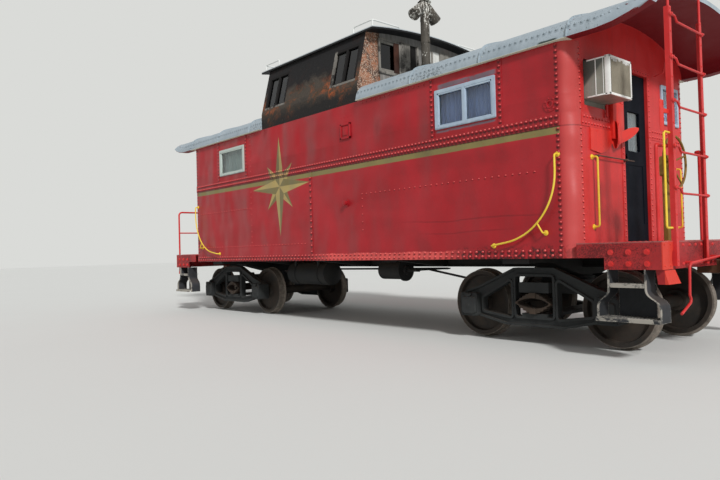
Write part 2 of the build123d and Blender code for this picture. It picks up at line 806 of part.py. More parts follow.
# Truck frames: two cast side frames and the spring plank between them
frame_post = 62.0
arm_reach = wheelbase / 2 - box_w / 2 - 52
box_face = journal_y + box_depth / 2
for name, end in ends.items():
    centre_x = end * truck_half_span
    with BuildPart() as truck_frame:
        for side in sides.values():
            middle = Plane(origin=(centre_x, side * journal_y, 0), x_dir=(1, 0, 0), z_dir=(0, -1, 0))
            with BuildSketch(middle):
                side_frame_face()
            extrude(amount=frame_web / 2, both=True)
            with BuildSketch(middle):
                side_frame_face()
                offset(amount=-frame_rim_t, mode=Mode.SUBTRACT)
            extrude(amount=frame_rim_w / 2, both=True)
            with BuildSketch(middle):
                with Locations(*[(k * wheelbase / 2, axle_z) for k in (-1, 1)]):
                    RectangleRounded(box_w, box_h, 30)
            extrude(amount=box_depth / 2, both=True)
            front = Plane(origin=(centre_x, side * box_face, 0), x_dir=(-side, 0, 0), z_dir=(0, side, 0))
            with BuildSketch(front):
                with Locations(*[(k * wheelbase / 2, axle_z - 12) for k in (-1, 1)]):
                    RectangleRounded(box_w - 44, box_h - 70, 46)
            extrude(amount=box_lid_t, taper=24)
            with BuildSketch(front):
                with Locations(*[(k * wheelbase / 2, axle_z + box_h / 2 - 34) for k in (-1, 1)]):
                    RectangleRounded(70, 34, 12)
            extrude(amount=box_lid_t)
            inner_face = Plane(origin=(centre_x, side * (box_face - box_depth), 0), x_dir=(-side, 0, 0),
                               z_dir=(0, side, 0))
            with BuildSketch(inner_face):
                with Locations(*[(k * wheelbase / 2, axle_z) for k in (-1, 1)]):
                    Circle(journal_r + journal_gap)
            extrude(amount=journal_end + journal_gap - (box_face - box_depth), mode=Mode.SUBTRACT)
        with BuildSketch(Plane.XY.offset(window_bottom)):
            with Locations((centre_x, 0)):
                Rectangle(plank_w, 2 * (journal_y + frame_rim_w / 2))
        extrude(amount=plank_t)
    save(truck_frame.part, f"truck_frame_{name}")

# Truck bolsters: a deep-bellied beam with the bowl that carries the cabin's centre plate
bowl_floor = centre_plate_z - bearing_gap
bolster_top = bowl_floor - bowl_t
bolster_end_low = bolster_top - bolster_end_h
for name, end in ends.items():
    centre_x = end * truck_half_span
    with BuildPart() as bolster:
        with BuildSketch(Plane.YZ.offset(centre_x - bolster_w / 2)):
            reach = journal_y + frame_rim_w / 2
            outline((-reach, bolster_top), (reach, bolster_top), (reach, bolster_end_low),
                    (reach - 230, bolster_end_low), (260, bolster_end_low - bolster_belly),
                    (-260, bolster_end_low - bolster_belly), (230 - reach, bolster_end_low),
                    (-reach, bolster_end_low))
        extrude(amount=bolster_w)
        with BuildSketch(Plane.XY.offset(bolster_top)):
            with Locations((centre_x, 0)):
                Circle(centre_plate_r + bowl_gap + bowl_rim)
        extrude(amount=bowl_t + bowl_depth)
        with BuildSketch(Plane.XY.offset(bowl_floor)):
            with Locations((centre_x, 0)):
                Circle(centre_plate_r + bowl_gap)
        extrude(amount=bowl_depth, mode=Mode.SUBTRACT)
        with BuildSketch(Plane.XY.offset(bolster_top)):
            with Locations(*[(centre_x, s * side_bearing_y) for s in (-1, 1)]):
                Rectangle(210, 110)
        extrude(amount=side_bearing_h, taper=14)
    save(bolster.part, f"truck_bolster_{name}")

# Springs: full elliptic packs, each a lower and an upper stack of leaves held by a buckle
spring_low = window_bottom + plank_t
spring_mid = (spring_low + bolster_end_low) / 2
leaf_stack = leaf_count * leaf_t
leaf_sag = spring_mid - spring_low - leaf_stack - buckle_t
leaf_bend_r = ((leaf_span / 2) ** 2 + leaf_sag**2) / (2 * leaf_sag)
for name, end in ends.items():
    with BuildPart() as springs:
        for side in sides.values():
            for up in (-1, 1):
                middle = Plane(origin=(end * truck_half_span, side * journal_y, spring_mid),
                               x_dir=(1, 0, 0),
                               z_dir=(0, -1, 0))
                with BuildSketch(middle):
                    for leaf in range(leaf_count):
                        inner = leaf_bend_r + leaf * leaf_t
                        half_turn = asin(leaf_span / 2 * (1 - leaf / (leaf_count + 1)) / inner)
                        drop = leaf_bend_r - leaf_sag
                        with BuildLine():
                            for radius, way in ((inner, 1), (inner + leaf_t, -1)):
                                tip = (way * radius * sin(half_turn), up * (radius * cos(half_turn) - drop))
                                ThreePointArc(tip, (0, up * (radius - drop)), (-tip[0], tip[1]))
                            for way in (-1, 1):
                                Line(*[(way * r * sin(half_turn), up * (r * cos(half_turn) - drop))
                                       for r in (inner, inner + leaf_t)])
                        make_face()
                extrude(amount=leaf_w / 2, both=True)
                with BuildSketch(middle):
                    with Locations((0, up * (leaf_sag + (leaf_stack + buckle_t) / 2))):
                        Rectangle(buckle_w, leaf_stack + buckle_t)
                extrude(amount=leaf_w / 2 + buckle_t, both=True)
            with BuildSketch(middle):
                with Locations((-leaf_span / 2 + 4, 0), (leaf_span / 2 - 4, 0)):
                    Circle(15)
            extrude(amount=leaf_w / 2, both=True)
    save(springs.part, f"springs_{name}")


def at(end, x, y, z):
    """A point of end a, or the same point of end b, turned half round the car."""
    return (end * x, end * y, z)


# End ladders: two angle irons that hook over the roof, and rungs that drop at their outer ends
for name, end in ends.items():
    with BuildPart() as ladder:
        stile_x = platform_end + angle_leg
        for y in ladder_y:
            turn = 1 if y == ladder_y[1] else -1
            with BuildSketch(Plane.XY.offset(ladder_foot)):
                outline(*[(end * (platform_end + u), end * (-y + turn * v)) for u, v in
                          ((0, 0), (angle_leg, 0), (angle_leg, angle_leg), (angle_leg - angle_t, angle_leg),
                           (angle_leg - angle_t, angle_t), (0, angle_t))])
            extrude(amount=ladder_hook_z - ladder_foot)
            top = roof_top_z(y)
            hook = [at(end, stile_x - 14, -y + turn * 12, ladder_hook_z - 60),
                    at(end, stile_x - 14, -y + turn * 12, top + ladder_hook_rise),
                    at(end, roof_end - ladder_hook_run, -y + turn * 12, top + ladder_hook_rise),
                    at(end, roof_end - ladder_hook_run, -y + turn * 12, top - 6)]
            add(bar(hook, 13, 95))
        rung_x = stile_x + rung_r - 2
        for z in rung_z:
            add(bar([at(end, rung_x, -ladder_y[1] + 6, z + rung_drop),
                     at(end, rung_x, -ladder_y[1] + 105, z + rung_drop),
                     at(end, rung_x, -ladder_y[1] + 150, z),
                     at(end, rung_x, -ladder_y[0] - 6, z)], rung_r, 28))
        add(roofs[name], mode=Mode.SUBTRACT)
    save(ladder.part, f"end_ladder_{name}")

# End railings: posts and rails beside the gap that leads to the next car
for name, end in ends.items():
    with BuildPart() as railing:
        x = platform_end - 40
        low, high = rail_y_low, half_w - rail_in
        add(bar([at(end, x, low, deck_z), at(end, x, low, rail_top), at(end, x, high, rail_top),
                 at(end, x, high, deck_z)], rail_r, 70))
        add(bar([at(end, x, low, rail_mid), at(end, x, high, rail_mid)], rail_r - 4, 0))
        for post, stile in ((high, ladder_y[1] - angle_leg / 2), (low, ladder_y[0] + angle_leg / 2)):
            add(bar([at(end, x, -post, deck_z), at(end, x, -post, rail_top), at(end, x, -stile, rail_top),
                     at(end, platform_end, -stile, rail_top)], rail_r, [30, 20]))
    save(railing.part, f"end_railing_{name}")

# Brake wheels: a rim, dished spokes and a gear case on a post
for name, end in ends.items():
    rim_x = platform_end - 66
    hub_x = rim_x - 42
    hub_plane = Plane(origin=at(end, hub_x, -brake_wheel_y, brake_wheel_z), x_dir=(0, end, 0),
                      z_dir=(end, 0, 0))
    with BuildPart() as brake_wheel:
        with BuildSketch(Plane(origin=hub_plane.origin, x_dir=(end, 0, 0), z_dir=(0, -end, 0))):
            with Locations((rim_x - hub_x, brake_wheel_d / 2 - brake_rim_r)):
                Circle(brake_rim_r)
        revolve(axis=Axis(hub_plane.origin, (1, 0, 0)))
        with BuildSketch(hub_plane.offset(-12)):
            Circle(46)
        extrude(amount=34, taper=8)
        for spoke in range(brake_spokes):
            turn = 2 * pi * spoke / brake_spokes + pi / 2
            rim = brake_wheel_d / 2 - brake_rim_r
            tip = at(end, rim_x, -brake_wheel_y + rim * cos(turn), brake_wheel_z + rim * sin(turn))
            root = at(end, hub_x, -brake_wheel_y + 30 * cos(turn), brake_wheel_z + 30 * sin(turn))
            add(bar([root, tip], 9, 0))
        with BuildSketch(hub_plane.offset(-12)):
            with Locations((0, -30)):
                RectangleRounded(150, 210, 30)
        extrude(amount=-70, taper=4)
        with BuildSketch(Plane.XY.offset(deck_z)):
            with Locations(at(end, hub_x - 52, -brake_wheel_y, 0)[:2]):
                RectangleRounded(50, 70, 8)
        extrude(amount=brake_wheel_z - deck_z - 60)
    save(brake_wheel.part, f"brake_wheel_{name}")

# Grab irons: curved ones on the sides, upright ones on the end walls and platform corners
grab_out = half_w + grab_stand
with BuildPart() as grabs:
    for end in ends.values():
        for side in sides.values():
            y_wall = side * half_w
            y = side * grab_out
            top, knee, foot, stay = [(end * (half_l - inset), y, z) for inset, z in (
                side_grab_top, side_grab_knee, side_grab_foot, side_grab_stay)]
            add(bar([(top[0], y_wall, top[2]), top, knee, foot, (foot[0], y_wall, foot[2])], grab_r,
                    [grab_bend, side_grab_bend, grab_bend]))
            add(bar([(stay[0], y_wall, stay[2]), stay], grab_r, 0))
            x = end * (half_l + grab_stand)
            y = side * (half_w - end_grab_in)
            add(bar([(end * half_l, y, end_grab_low), (x, y, end_grab_low), (x, y, end_grab_high),
                     (end * half_l, y, end_grab_high)], grab_r, grab_bend))
        x = platform_end + corner_grab_x
        inner = -ladder_y[1]
        outer = inner - corner_grab_out
        add(bar([at(end, x, inner, corner_grab_low), at(end, x, outer, corner_grab_low),
                 at(end, x, outer, corner_grab_high), at(end, x, inner, corner_grab_high)], grab_r,
                grab_bend))
save(grabs.part, "grab_irons")

# Air conditioner in an end window: a sheet case with a framed grille
ac_x = half_l + ac_depth
ac_z = (ac_low + ac_high) / 2
with BuildPart() as conditioner:
    with BuildSketch(end_plane(1, inner_half_l)):
        with Locations((-end_window_y, ac_z)):
            Rectangle(ac_w, ac_high - ac_low)
    extrude(amount=ac_x - inner_half_l)
    fillet(conditioner.edges().filter_by(Axis.X), 10)
    with BuildSketch(end_plane(1, half_l - 50)):
        with Locations((-end_window_y, window_z)):
            RectangleRounded(end_window_w, window_h, window_corner)
    extrude(amount=20)
    with BuildSketch(end_plane(1, ac_x)):
        with Locations((-end_window_y, ac_z)):
            RectangleRounded(ac_w - 36, ac_high - ac_low - 36, 12)
    extrude(amount=-16, mode=Mode.SUBTRACT)
    with BuildSketch(end_plane(1, ac_x - 4)):
        with Locations((-end_window_y, ac_z)):
            with GridLocations(0, (ac_high - ac_low - 60) / (ac_slats - 1), 1, ac_slats):
                Rectangle(ac_w - 36, 9)
    extrude(amount=-14)
save(conditioner.part, "air_conditioner")

# Smoke jack: a stove pipe whose two arms turn down to either side
with BuildPart() as jack:
    foot = roof_top_z(abs(jack_y))
    with BuildSketch(Plane(origin=(jack_x, jack_y, foot - 26))):
        Circle(jack_r + 70)
    extrude(amount=70, taper=42)
    with BuildSketch(Plane(origin=(jack_x, jack_y, foot - 20))):
        Circle(jack_r)
    extrude(amount=jack_fork_z - foot + 60)
    for side in sides.values():
        way = Vector(0, side * jack_arm_out, -jack_arm_drop)
        with BuildSketch(Plane(origin=(jack_x, jack_y - side * 20, jack_fork_z + 40), z_dir=way)):
            Circle(jack_r)
        extrude(amount=way.length, taper=-4)
    with BuildSketch(Plane(origin=(jack_x, jack_y, jack_fork_z + 50))):
        Circle(jack_r + 34)
    extrude(amount=52, taper=44)
    add(roofs["a"], mode=Mode.SUBTRACT)
save(jack.part, "smoke_jack")

# Air reservoir under the floor, with domed ends and two hanger straps
with BuildPart() as reservoir:
    with BuildSketch(Plane(origin=(0, reservoir_y, reservoir_z), x_dir=(1, 0, 0), z_dir=(0, -1, 0))):
        low, high = reservoir_x
        dome = reservoir_r * 0.28
        dome_r = (reservoir_r**2 + dome**2) / (2 * dome)
        half_turn = asin(reservoir_r / dome_r) / 2
        swell = dome_r * (1 - cos(half_turn))
        with BuildLine():
            Line((low, 0), (high, 0))
            ThreePointArc((high, 0), (high - swell, dome_r * sin(half_turn)), (high - dome, reservoir_r))
            Line((high - dome, reservoir_r), (low + dome, reservoir_r))
            ThreePointArc((low + dome, reservoir_r), (low + swell, dome_r * sin(half_turn)), (low, 0))
        make_face()
    revolve(axis=Axis((0, reservoir_y, reservoir_z), (1, 0, 0)))
    for x in (low + 260, high - 260):
        with BuildSketch(Plane(origin=(x - 25, reservoir_y, 0), x_dir=(0, 1, 0), z_dir=(1, 0, 0))):
            with Locations((0, reservoir_z)):
                Circle(reservoir_r + 8)
            for y in (-strap_y, strap_y):
                with Locations((y, (reservoir_z + floor_low) / 2)):
                    Rectangle(14, floor_low - reservoir_z)
        extrude(amount=50)
save(reservoir.part, "air_reservoir")

# Brake cylinder and its rods
with BuildPart() as cylinder:
    low, high = cylinder_x
    with BuildSketch(Plane(origin=(0, cylinder_y, cylinder_z), x_dir=(1, 0, 0), z_dir=(0, -1, 0))):
        outline((low, 0), (low, cylinder_r - 40), (low + 40, cylinder_r), (high - 60, cylinder_r),
                (high - 60, cylinder_r + 26), (high - 30, cylinder_r + 26), (high - 30, 70), (high, 55),
                (high, 0))
    revolve(axis=Axis((0, cylinder_y, cylinder_z), (1, 0, 0)))
    with BuildSketch(Plane.XY.offset(cylinder_z)):
        with Locations(((low + high) / 2 - 40, cylinder_y)):
            Rectangle(300, 150)
    extrude(amount=floor_low - cylinder_z)
    with BuildSketch(Plane(origin=(high - 20, cylinder_y, cylinder_z), z_dir=(1, 0, 0))):
        Circle(24)
    extrude(amount=260)
    lever_x = high + 200
    with BuildSketch(Plane.XY.offset(cylinder_z - 10)):
        outline((lever_x - 30, cylinder_y - 50), (lever_x + 30, cylinder_y - 50), (lever_x + 24, 120),
                (lever_x - 24, 120))
    extrude(amount=20)
    add(bar([(lever_x, rod_y, cylinder_z), (rod_end_x, rod_y, rod_end_z)], rod_r, 0))
    add(bar([(lever_x, far_rod_y, cylinder_z), (-lever_x - 400, far_rod_y, cylinder_z - 20),
             (-rod_end_x, far_rod_y, rod_end_z)], rod_r, 300))
save(cylinder.part, "brake_cylinder")

# Uncoupling levers on the end sills
with BuildPart() as levers:
    for end in ends.values():
        x = platform_end + lever_stand
        start, stop = [at(end, x, -y, coupler_z + rise) for y, rise in zip(lever_y, lever_rise)]
        add(bar([start, stop, *[at(end, x, -y, z) for y, z in lever_grip]], lever_r, lever_bends))
        for y in lever_hangers:
            share = (y - lever_y[0]) / (lever_y[1] - lever_y[0])
            z = coupler_z + lever_rise[0] + (lever_rise[1] - lever_rise[0]) * share
            add(bar([at(end, platform_end, -y, z), at(end, x, -y, z)], lever_r + 2, 0))
save(levers.part, "uncoupling_levers")
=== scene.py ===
import math
from functools import partial

import bmesh
import bpy
from bpy.props import FloatProperty, FloatVectorProperty, PointerProperty
from mathutils import Matrix, Vector


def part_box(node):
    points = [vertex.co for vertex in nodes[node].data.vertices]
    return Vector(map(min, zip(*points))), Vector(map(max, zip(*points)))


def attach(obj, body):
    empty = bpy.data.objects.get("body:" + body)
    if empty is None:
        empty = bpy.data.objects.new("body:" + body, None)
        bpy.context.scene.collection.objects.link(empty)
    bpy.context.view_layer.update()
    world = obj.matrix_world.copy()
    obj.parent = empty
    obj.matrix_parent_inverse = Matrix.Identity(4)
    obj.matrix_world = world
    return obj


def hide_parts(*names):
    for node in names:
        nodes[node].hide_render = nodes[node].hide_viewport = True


bl_info = {
    "name": "Riveted caboose",
    "version": (1, 0, 0),
    "blender": (4, 5, 0),
    "location": "3D View > Sidebar > Caboose",
    "description": "Paint, rivets, fittings, curtains and stage for a riveted steel caboose",
    "category": "Object",
}

# Metres. +X runs along the car to end a, the near side is -Y, and z = 0 is the foot of the wheel flanges.
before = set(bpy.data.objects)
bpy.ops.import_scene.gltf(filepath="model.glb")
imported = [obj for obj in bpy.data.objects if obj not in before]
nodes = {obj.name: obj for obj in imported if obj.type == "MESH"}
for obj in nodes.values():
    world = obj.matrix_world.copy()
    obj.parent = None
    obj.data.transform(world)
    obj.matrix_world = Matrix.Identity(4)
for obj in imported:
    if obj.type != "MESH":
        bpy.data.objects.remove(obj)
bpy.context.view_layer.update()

ENDS = {"a": 1, "b": -1}
SIDES = {"near": -1, "far": 1}

# Sizes that the frame gives, and the few that go with them
FRAME_LOW, FRAME_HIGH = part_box("side_wall_near")
PLATE = 0.006
WALL_Y = -FRAME_LOW.y - PLATE
WALL_X = FRAME_HIGH.x
SILL_Z = FRAME_LOW.z
EAVE_Z = FRAME_HIGH.z
WALL_T = 0.075
DECK_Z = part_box("floor")[1].z
ROOF_END, ROOF_HALF, ROOF_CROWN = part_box("main_roof_a")[1]
CUPOLA_LOW_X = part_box("cupola_walls")[0].x
CUPOLA_HIGH_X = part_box("cupola_walls")[1].x
CUPOLA_ROOF_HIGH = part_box("cupola_roof")[1]
CUPOLA_HEADER_Z = 4.33
FOOT_OUT = 0.036
CAP_T = 0.012
PLATFORM_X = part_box("platform_a")[1].x - FOOT_OUT
AXLE_Z = sum(corner.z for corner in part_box("wheelset_1")) / 2
AC_LOW, AC_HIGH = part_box("air_conditioner")

# Places and sizes of what is added here
CORNER = 0.180
SHOULDER = 0.254  # radius of the roof's rounded edge
UPSWEEP_X = 4.560  # where the eave starts to sweep up
ROOF_ROW_UP, ROOF_PITCH = 0.120, 0.072
BELT_ROW = 0.034
SIDE_WINDOWS = (  # low x, high x, and the middles of the battens beside it
    (-3.141, -2.251, -3.201, -2.191),
    (2.390, 3.315, 2.330, 3.375),
)
WINDOW_LOW, WINDOW_HIGH = 2.646, 3.141
SASH = 0.042
FILLER = (0.607, -WALL_Y, 1.862)
END_PANEL = (  # y and z of its corners
    (-1.090, 2.415), (-0.615, 2.415), (-0.615, 2.290), (-0.760, 2.180), (-0.880, 2.150), (-1.090, 2.175),
)
RUNG_Z = (1.625, 2.025, 2.459, 2.876, 3.287)
RUNG_DROP = 0.050
STILE_X = PLATFORM_X + 0.050
LOZENGE_HEIGHT = 0.004
TREADS = (  # low x, high x, height, inner y, outer y
    (4.477, 5.110, 0.429, 1.235, 1.475),
    (4.594, 4.972, 0.762, 1.215, 1.440),
)
CAP_WIDE, CAP_WAIST, SILL_LOW = 0.293, 0.222, 0.903
CAP_DIP = 0.058
SILL_CAP = [(WALL_Y, DECK_Z), (WALL_Y, SILL_LOW), (WALL_Y - CAP_WAIST, SILL_LOW)]
SILL_CAP += [(WALL_Y - CAP_WAIST - (CAP_WIDE - CAP_WAIST) * t + CAP_DIP * math.sin(math.pi * t),
              SILL_LOW + (DECK_Z - SILL_LOW) * t) for t in (0.1, 0.2, 0.3, 0.4, 0.5, 0.6, 0.7, 0.8, 0.9, 1.0)]
SIDE_GRAB = ((4.083, 2.122), (4.083, 1.304), (3.231, 1.171))  # x and z of the top, the knee and the foot
SIDE_GRAB_BEND = 0.750
SIDE_STAY = ((3.848, 1.404), (3.916, 1.294))
END_GRAB_Y, END_GRAB_Z = 1.060, (1.345, 2.097)
CORNER_GRAB_Y, CORNER_GRAB_Z = (-1.210, -1.330), (1.295, 2.205)
GRAB_X = PLATFORM_X + 0.014
GRAB_STAND, GRAB_R, GRAB_BEND = 0.065, 0.011, 0.030
AXLE_REACH, TRUCK_RIM_Y = 0.915, 1.026
CUPOLA_BOARDS = (  # name, finish, slot, bevel, and each board's y and z limits and how far it stands out
    ("cupola_casings", "burnt_timber", "weathered_wood", 0.003,
     ((0.347, 0.470, 3.78, 4.33, 0.022), (0.474, 0.588, 3.78, 4.33, 0.024),
      (0.985, 1.015, 3.79, 4.31, 0.022), (0.588, 0.985, 4.292, 4.325, 0.022),
      (0.588, 0.985, 3.790, 3.832, 0.022), (0.150, 0.185, 3.72, 4.33, 0.016))),
    ("cupola_charred_boards", "charred_board", "burnt_black", 0.004, ((0.590, 0.692, 3.832, 4.292, 0.018),)),
)


def tint(code):
    """A linear colour from a six-digit colour code."""
    parts = [int(code[place:place + 2], 16) / 255 for place in (0, 2, 4)]
    return tuple(c / 12.92 if c <= 0.04045 else ((c + 0.055) / 1.055) ** 2.4 for c in parts)


def size(name, description, default):
    return FloatProperty(name=name, description=description, default=default, unit="LENGTH")


def colour(name, description, code):
    return FloatVectorProperty(name=name, description=description, default=tint(code), subtype="COLOR",
                               size=3, min=0, max=1)


class CabooseSizes(bpy.types.PropertyGroup):
    rivet_pitch: size("Rivet pitch", "Distance between the rivets of the belt", 0.062)
    wide_pitch: size("Wide rivet pitch", "Distance between the rivets of corners, sill and seams", 0.092)
    rivet_head: size("Rivet head", "Diameter of a rivet head", 0.036)
    corner_head: size("Corner rivet head", "Diameter of the rivets beside corners and windows", 0.029)
    small_head: size("Small rivet head", "Diameter of the rivets inside the panels", 0.024)
    bolt_head: size("Bolt head", "Width of a platform bolt", 0.046)
    belt_low: size("Belt foot", "Height of the belt plate's lower edge", 2.420)
    belt_high: size("Belt top", "Height of the belt plate's upper edge", 2.555)
    stripe_depth: size("Stripe depth", "Depth of the painted stripe under the belt", 0.080)
    seam_x: size("Seam", "Place of the upright seam along the car", -0.271)
    figure_x: size("Figure centre", "Place of the painted star along the car", -1.14)
    figure_z: size("Figure height", "Height of the painted star's centre", 2.27)
    figure_r: size("Figure radius", "Reach of the painted star", 0.84)
    pleat: size("Pleat", "Distance between the folds of a curtain", 0.075)
    tread_pitch: size("Tread pitch", "Distance between the lozenges of the deck plates", 0.060)


class CaboosePaints(bpy.types.PropertyGroup):
    side_red: colour("Side red", "Paint of the sides", "99131C")
    side_faded: colour("Faded red", "Side paint where the sun has bleached it", "BC2E36")
    # End red: the ends' own red, lightened as painted sunlight.
    end_red: colour("End red", "Paint of the ends, ladders and platforms", "C3211F")
    # The roof's red underside, darkened as painted shade.
    underside_shade_red: colour("Deep red", "Paint in corners and under the roof", "74141B")
    stripe: colour("Stripe", "Olive-gold stripe", "756B42")
    figure: colour("Star", "Ochre of the painted star", "A9955C")
    silver: colour("Roof silver", "Roof paint", "98A4AC")
    soot: colour("Soot", "Burnt cupola", "1A1A1C")
    ember: colour("Burnt rust", "Rust on the burnt sheets", "8E4A2A")
    timber: colour("Weathered wood", "Bare wood of the cupola's frames", "8F8B84")
    white: colour("White", "Cupola rails", "E6E7E4")
    sash: colour("Sash", "Side window frames", "A3B4C6")
    navy: colour("Door", "Dark blue doors", "0C1019")
    yellow: colour("Yellow", "Grab irons", "E8C638")
    ochre: colour("Brake ochre", "Brake wheels", "7A5A28")
    iron: colour("Iron", "Trucks and underframe", "2B2D2E")
    dust: colour("Dust", "Dust on iron", "5A5048")
    rust: colour("Rust", "Rust", "6E3B22")
    steel: colour("Worn steel", "Steel where boots and wheels rub it", "A9A49A")
    # Curtain: the cloth's blue-grey, made bluer as a painted reflection of the sky on the glass.
    cloth: colour("Curtain", "Curtain cloth", "8096C4")


class CabooseStage(bpy.types.PropertyGroup):
    eye_x: size("Eye x", "Camera place along the car", 7.691)
    eye_y: size("Eye y", "Camera place across the car", -7.393)
    eye_z: size("Eye height", "Camera height", 1.156)
    turn: FloatProperty(name="Turn", description="Camera azimuth", default=math.radians(48.83),
                        subtype="ANGLE")
    pitch: FloatProperty(name="Pitch", description="Camera pitch", default=math.radians(0.98),
                         subtype="ANGLE")
    roll: FloatProperty(name="Roll", description="Camera roll", default=math.radians(-1.53), subtype="ANGLE")
    lens: FloatProperty(name="Lens", description="Focal length on a 36 mm sensor, in mm", default=31.485)
    sun: FloatProperty(name="Sun", description="Strength of the key light", default=2.75)
    sky: FloatProperty(name="Sky", description="Strength of the even light", default=0.42)
    ground: colour("Ground", "Floor and background", "DADBD8")


def sizes():
    return bpy.context.scene.caboose_sizes


def paints():
    return bpy.context.scene.caboose_paints


# Shader helpers


def put(tree, kind, values=None, **settings):
    """A node with its settings, and its inputs set or linked by name or place."""
    node = tree.nodes.new(kind)
    for key, value in settings.items():
        setattr(node, key, value)
    for socket, value in (values or {}).items():
        wire(node.inputs[socket], value)
    return node


def wire(socket, value):
    """Link a socket to another, or set its value. A colour may be a six-digit code."""
    if isinstance(value, bpy.types.NodeSocket):
        socket.id_data.links.new(value, socket)
    elif socket.type == "RGBA":
        value = tint(value) if isinstance(value, str) else value
        socket.default_value = (*value[:3], 1)
    else:
        socket.default_value = value


def calc(operation, *values):
    """The result of one Math node, in the tree of its first socket."""
    tree = next(value.id_data for value in values if isinstance(value, bpy.types.NodeSocket))
    return put(tree, "ShaderNodeMath", dict(enumerate(values)), operation=operation).outputs[0]


times, plus, minus, ratio, most, least, is_over, is_under, unsigned, root = (
    partial(calc, operation) for operation in ("MULTIPLY", "ADD", "SUBTRACT", "DIVIDE", "MAXIMUM", "MINIMUM",
                                               "GREATER_THAN", "LESS_THAN", "ABSOLUTE", "SQRT"))


def between(value, low, high, bottom=0.0, top=1.0):
    """A value mapped from low..high to bottom..top and held there."""
    values = {0: value, 1: low, 2: high, 3: bottom, 4: top}
    return put(value.id_data, "ShaderNodeMapRange", values, clamp=True).outputs[0]


def within(value, low, high, soft=0.004):
    """A mask that is 1 between two limits."""
    return times(between(value, low - soft, low + soft), between(value, high - soft, high + soft, 1.0, 0.0))


def over(mask, under, top):
    """One colour laid over another by a mask."""
    return put(mask.id_data, "ShaderNodeMix", {0: mask, 6: under, 7: top}, data_type="RGBA").outputs[2]


def noise(where, scale, detail=6.0, roughness=0.6, warp=0.0):
    """The grey value of a noise pattern."""
    values = {"Vector": where, "Scale": scale, "Detail": detail, "Roughness": roughness, "Distortion": warp}
    return put(where.id_data, "ShaderNodeTexNoise", values).outputs[0]


def places(tree):
    """Object coordinates, as a vector and as its three parts."""
    where = put(tree, "ShaderNodeTexCoord").outputs["Object"]
    return where, *put(tree, "ShaderNodeSeparateXYZ", {0: where}).outputs


def facing(tree):
    """The upward part of the surface's direction."""
    normal = put(tree, "ShaderNodeNewGeometry").outputs["Normal"]
    return put(tree, "ShaderNodeSeparateXYZ", {0: normal}).outputs[2]


def stretched(where, factors):
    """A pattern's coordinates stretched along the axes."""
    return put(where.id_data, "ShaderNodeVectorMath", {0: where, 1: factors}, operation="MULTIPLY").outputs[0]


def hypotenuse(first, second):
    """The distance of a point from its two parts."""
    return root(plus(times(first, first), times(second, second)))


def paces(length, pitch):
    """How many equal steps a row takes when its heads stand about a pitch apart."""
    return max(1, int(length / pitch + 1e-6))


def rivet_shade_spots(tree, rows, pitch, reach):
    """A mask of painted shade below each head of some rows on a wall or the roof."""
    _, x, _, z = places(tree)
    # Each spot sits a little below its head, where the head's shade falls.
    total, sag, drift = None, 0.012, 0.004
    for (x0, _, z0), (x1, _, z1) in rows:
        level = z0 == z1
        start, stop = (x0, x1) if level else (z0, z1)
        step = (stop - start) / paces(abs(stop - start), pitch)
        along, across = (x, z) if level else (z, x)
        count = ratio(minus(along, start), step)
        if not level:
            count = plus(count, sag / step)
        off = times(minus(calc("FRACT", plus(count, 0.5)), 0.5), step)
        gap = hypotenuse(off, minus(across, z0 - sag if level else x0 - drift))
        spot = times(between(gap, reach * 0.45, reach, 1.0, 0.0),
                     within(along, min(start, stop) - 0.03, max(start, stop) + 0.03))
        total = spot if total is None else most(total, spot)
    return total


COLOUR = "NodeSocketColor"
NUMBER = "NodeSocketFloat"


def new_group(name, inputs, outputs):
    """An empty shader node group with named sockets, and its two ends."""
    group = bpy.data.node_groups.new(name, "ShaderNodeTree")
    for label, kind, default in inputs:
        socket = group.interface.new_socket(label, in_out="INPUT", socket_type=kind)
        socket.default_value = (*default, 1) if kind == COLOUR else default
    for label, kind in outputs:
        group.interface.new_socket(label, in_out="OUTPUT", socket_type=kind)
    return group, group.nodes.new("NodeGroupInput").outputs, group.nodes.new("NodeGroupOutput").inputs


def weather_group():
    """Paint that has faded in patches, streaked, gathered grime and broken out in rust spots."""
    inputs = [("Paint", COLOUR, (0.5, 0.1, 0.1)), ("Faded", COLOUR, (0.6, 0.2, 0.2)),
              ("Dirt", COLOUR, (0.05, 0.04, 0.03)), ("Rust", COLOUR, (0.15, 0.05, 0.02)),
              ("Patch Scale", NUMBER, 1.6), ("Fade", NUMBER, 0.5), ("Streaks", NUMBER, 0.2),
              ("Grime", NUMBER, 0.2), ("Rusting", NUMBER, 0.1), ("Gloss", NUMBER, 0.4)]
    tree, given, made = new_group("Weathered paint", inputs, [("Color", COLOUR), ("Roughness", NUMBER),
                                                              ("Height", NUMBER)])
    where = places(tree)[0]
    patch = between(noise(where, given["Patch Scale"], 8.0, 0.62), 0.36, 0.66)
    streak = noise(stretched(where, (11.0, 11.0, 0.55)), 1.0, 6.0, 0.65)
    fine = noise(where, 46.0, 8.0, 0.7)
    blotch = noise(where, 6.5, 10.0, 0.72, 0.4)
    shade = over(times(patch, given["Fade"]), given["Paint"], given["Faded"])
    streaked = times(between(streak, 0.5, 0.78), given["Streaks"])
    shade = over(streaked, shade, given["Dirt"])
    grime = times(between(fine, 0.45, 0.75), between(blotch, 0.4, 0.65))
    shade = over(times(grime, given["Grime"]), shade, given["Dirt"])
    threshold = minus(0.80, times(given["Rusting"], 0.34))
    spread = plus(times(blotch, 0.72), times(fine, 0.34))
    spots = put(tree, "ShaderNodeMapRange", {0: spread, 1: threshold, 2: plus(threshold, 0.05)},
                clamp=True).outputs[0]
    shade = over(times(spots, least(times(given["Rusting"], 6.0), 1.0)), shade, given["Rust"])
    wire(made["Color"], shade)
    rough = plus(given["Gloss"], times(spots, 0.35))
    wire(made["Roughness"], plus(rough, times(patch, 0.12)))
    height = plus(times(fine, 0.35), times(spots, 0.5))
    wire(made["Height"], plus(height, times(blotch, 0.4)))
    return tree


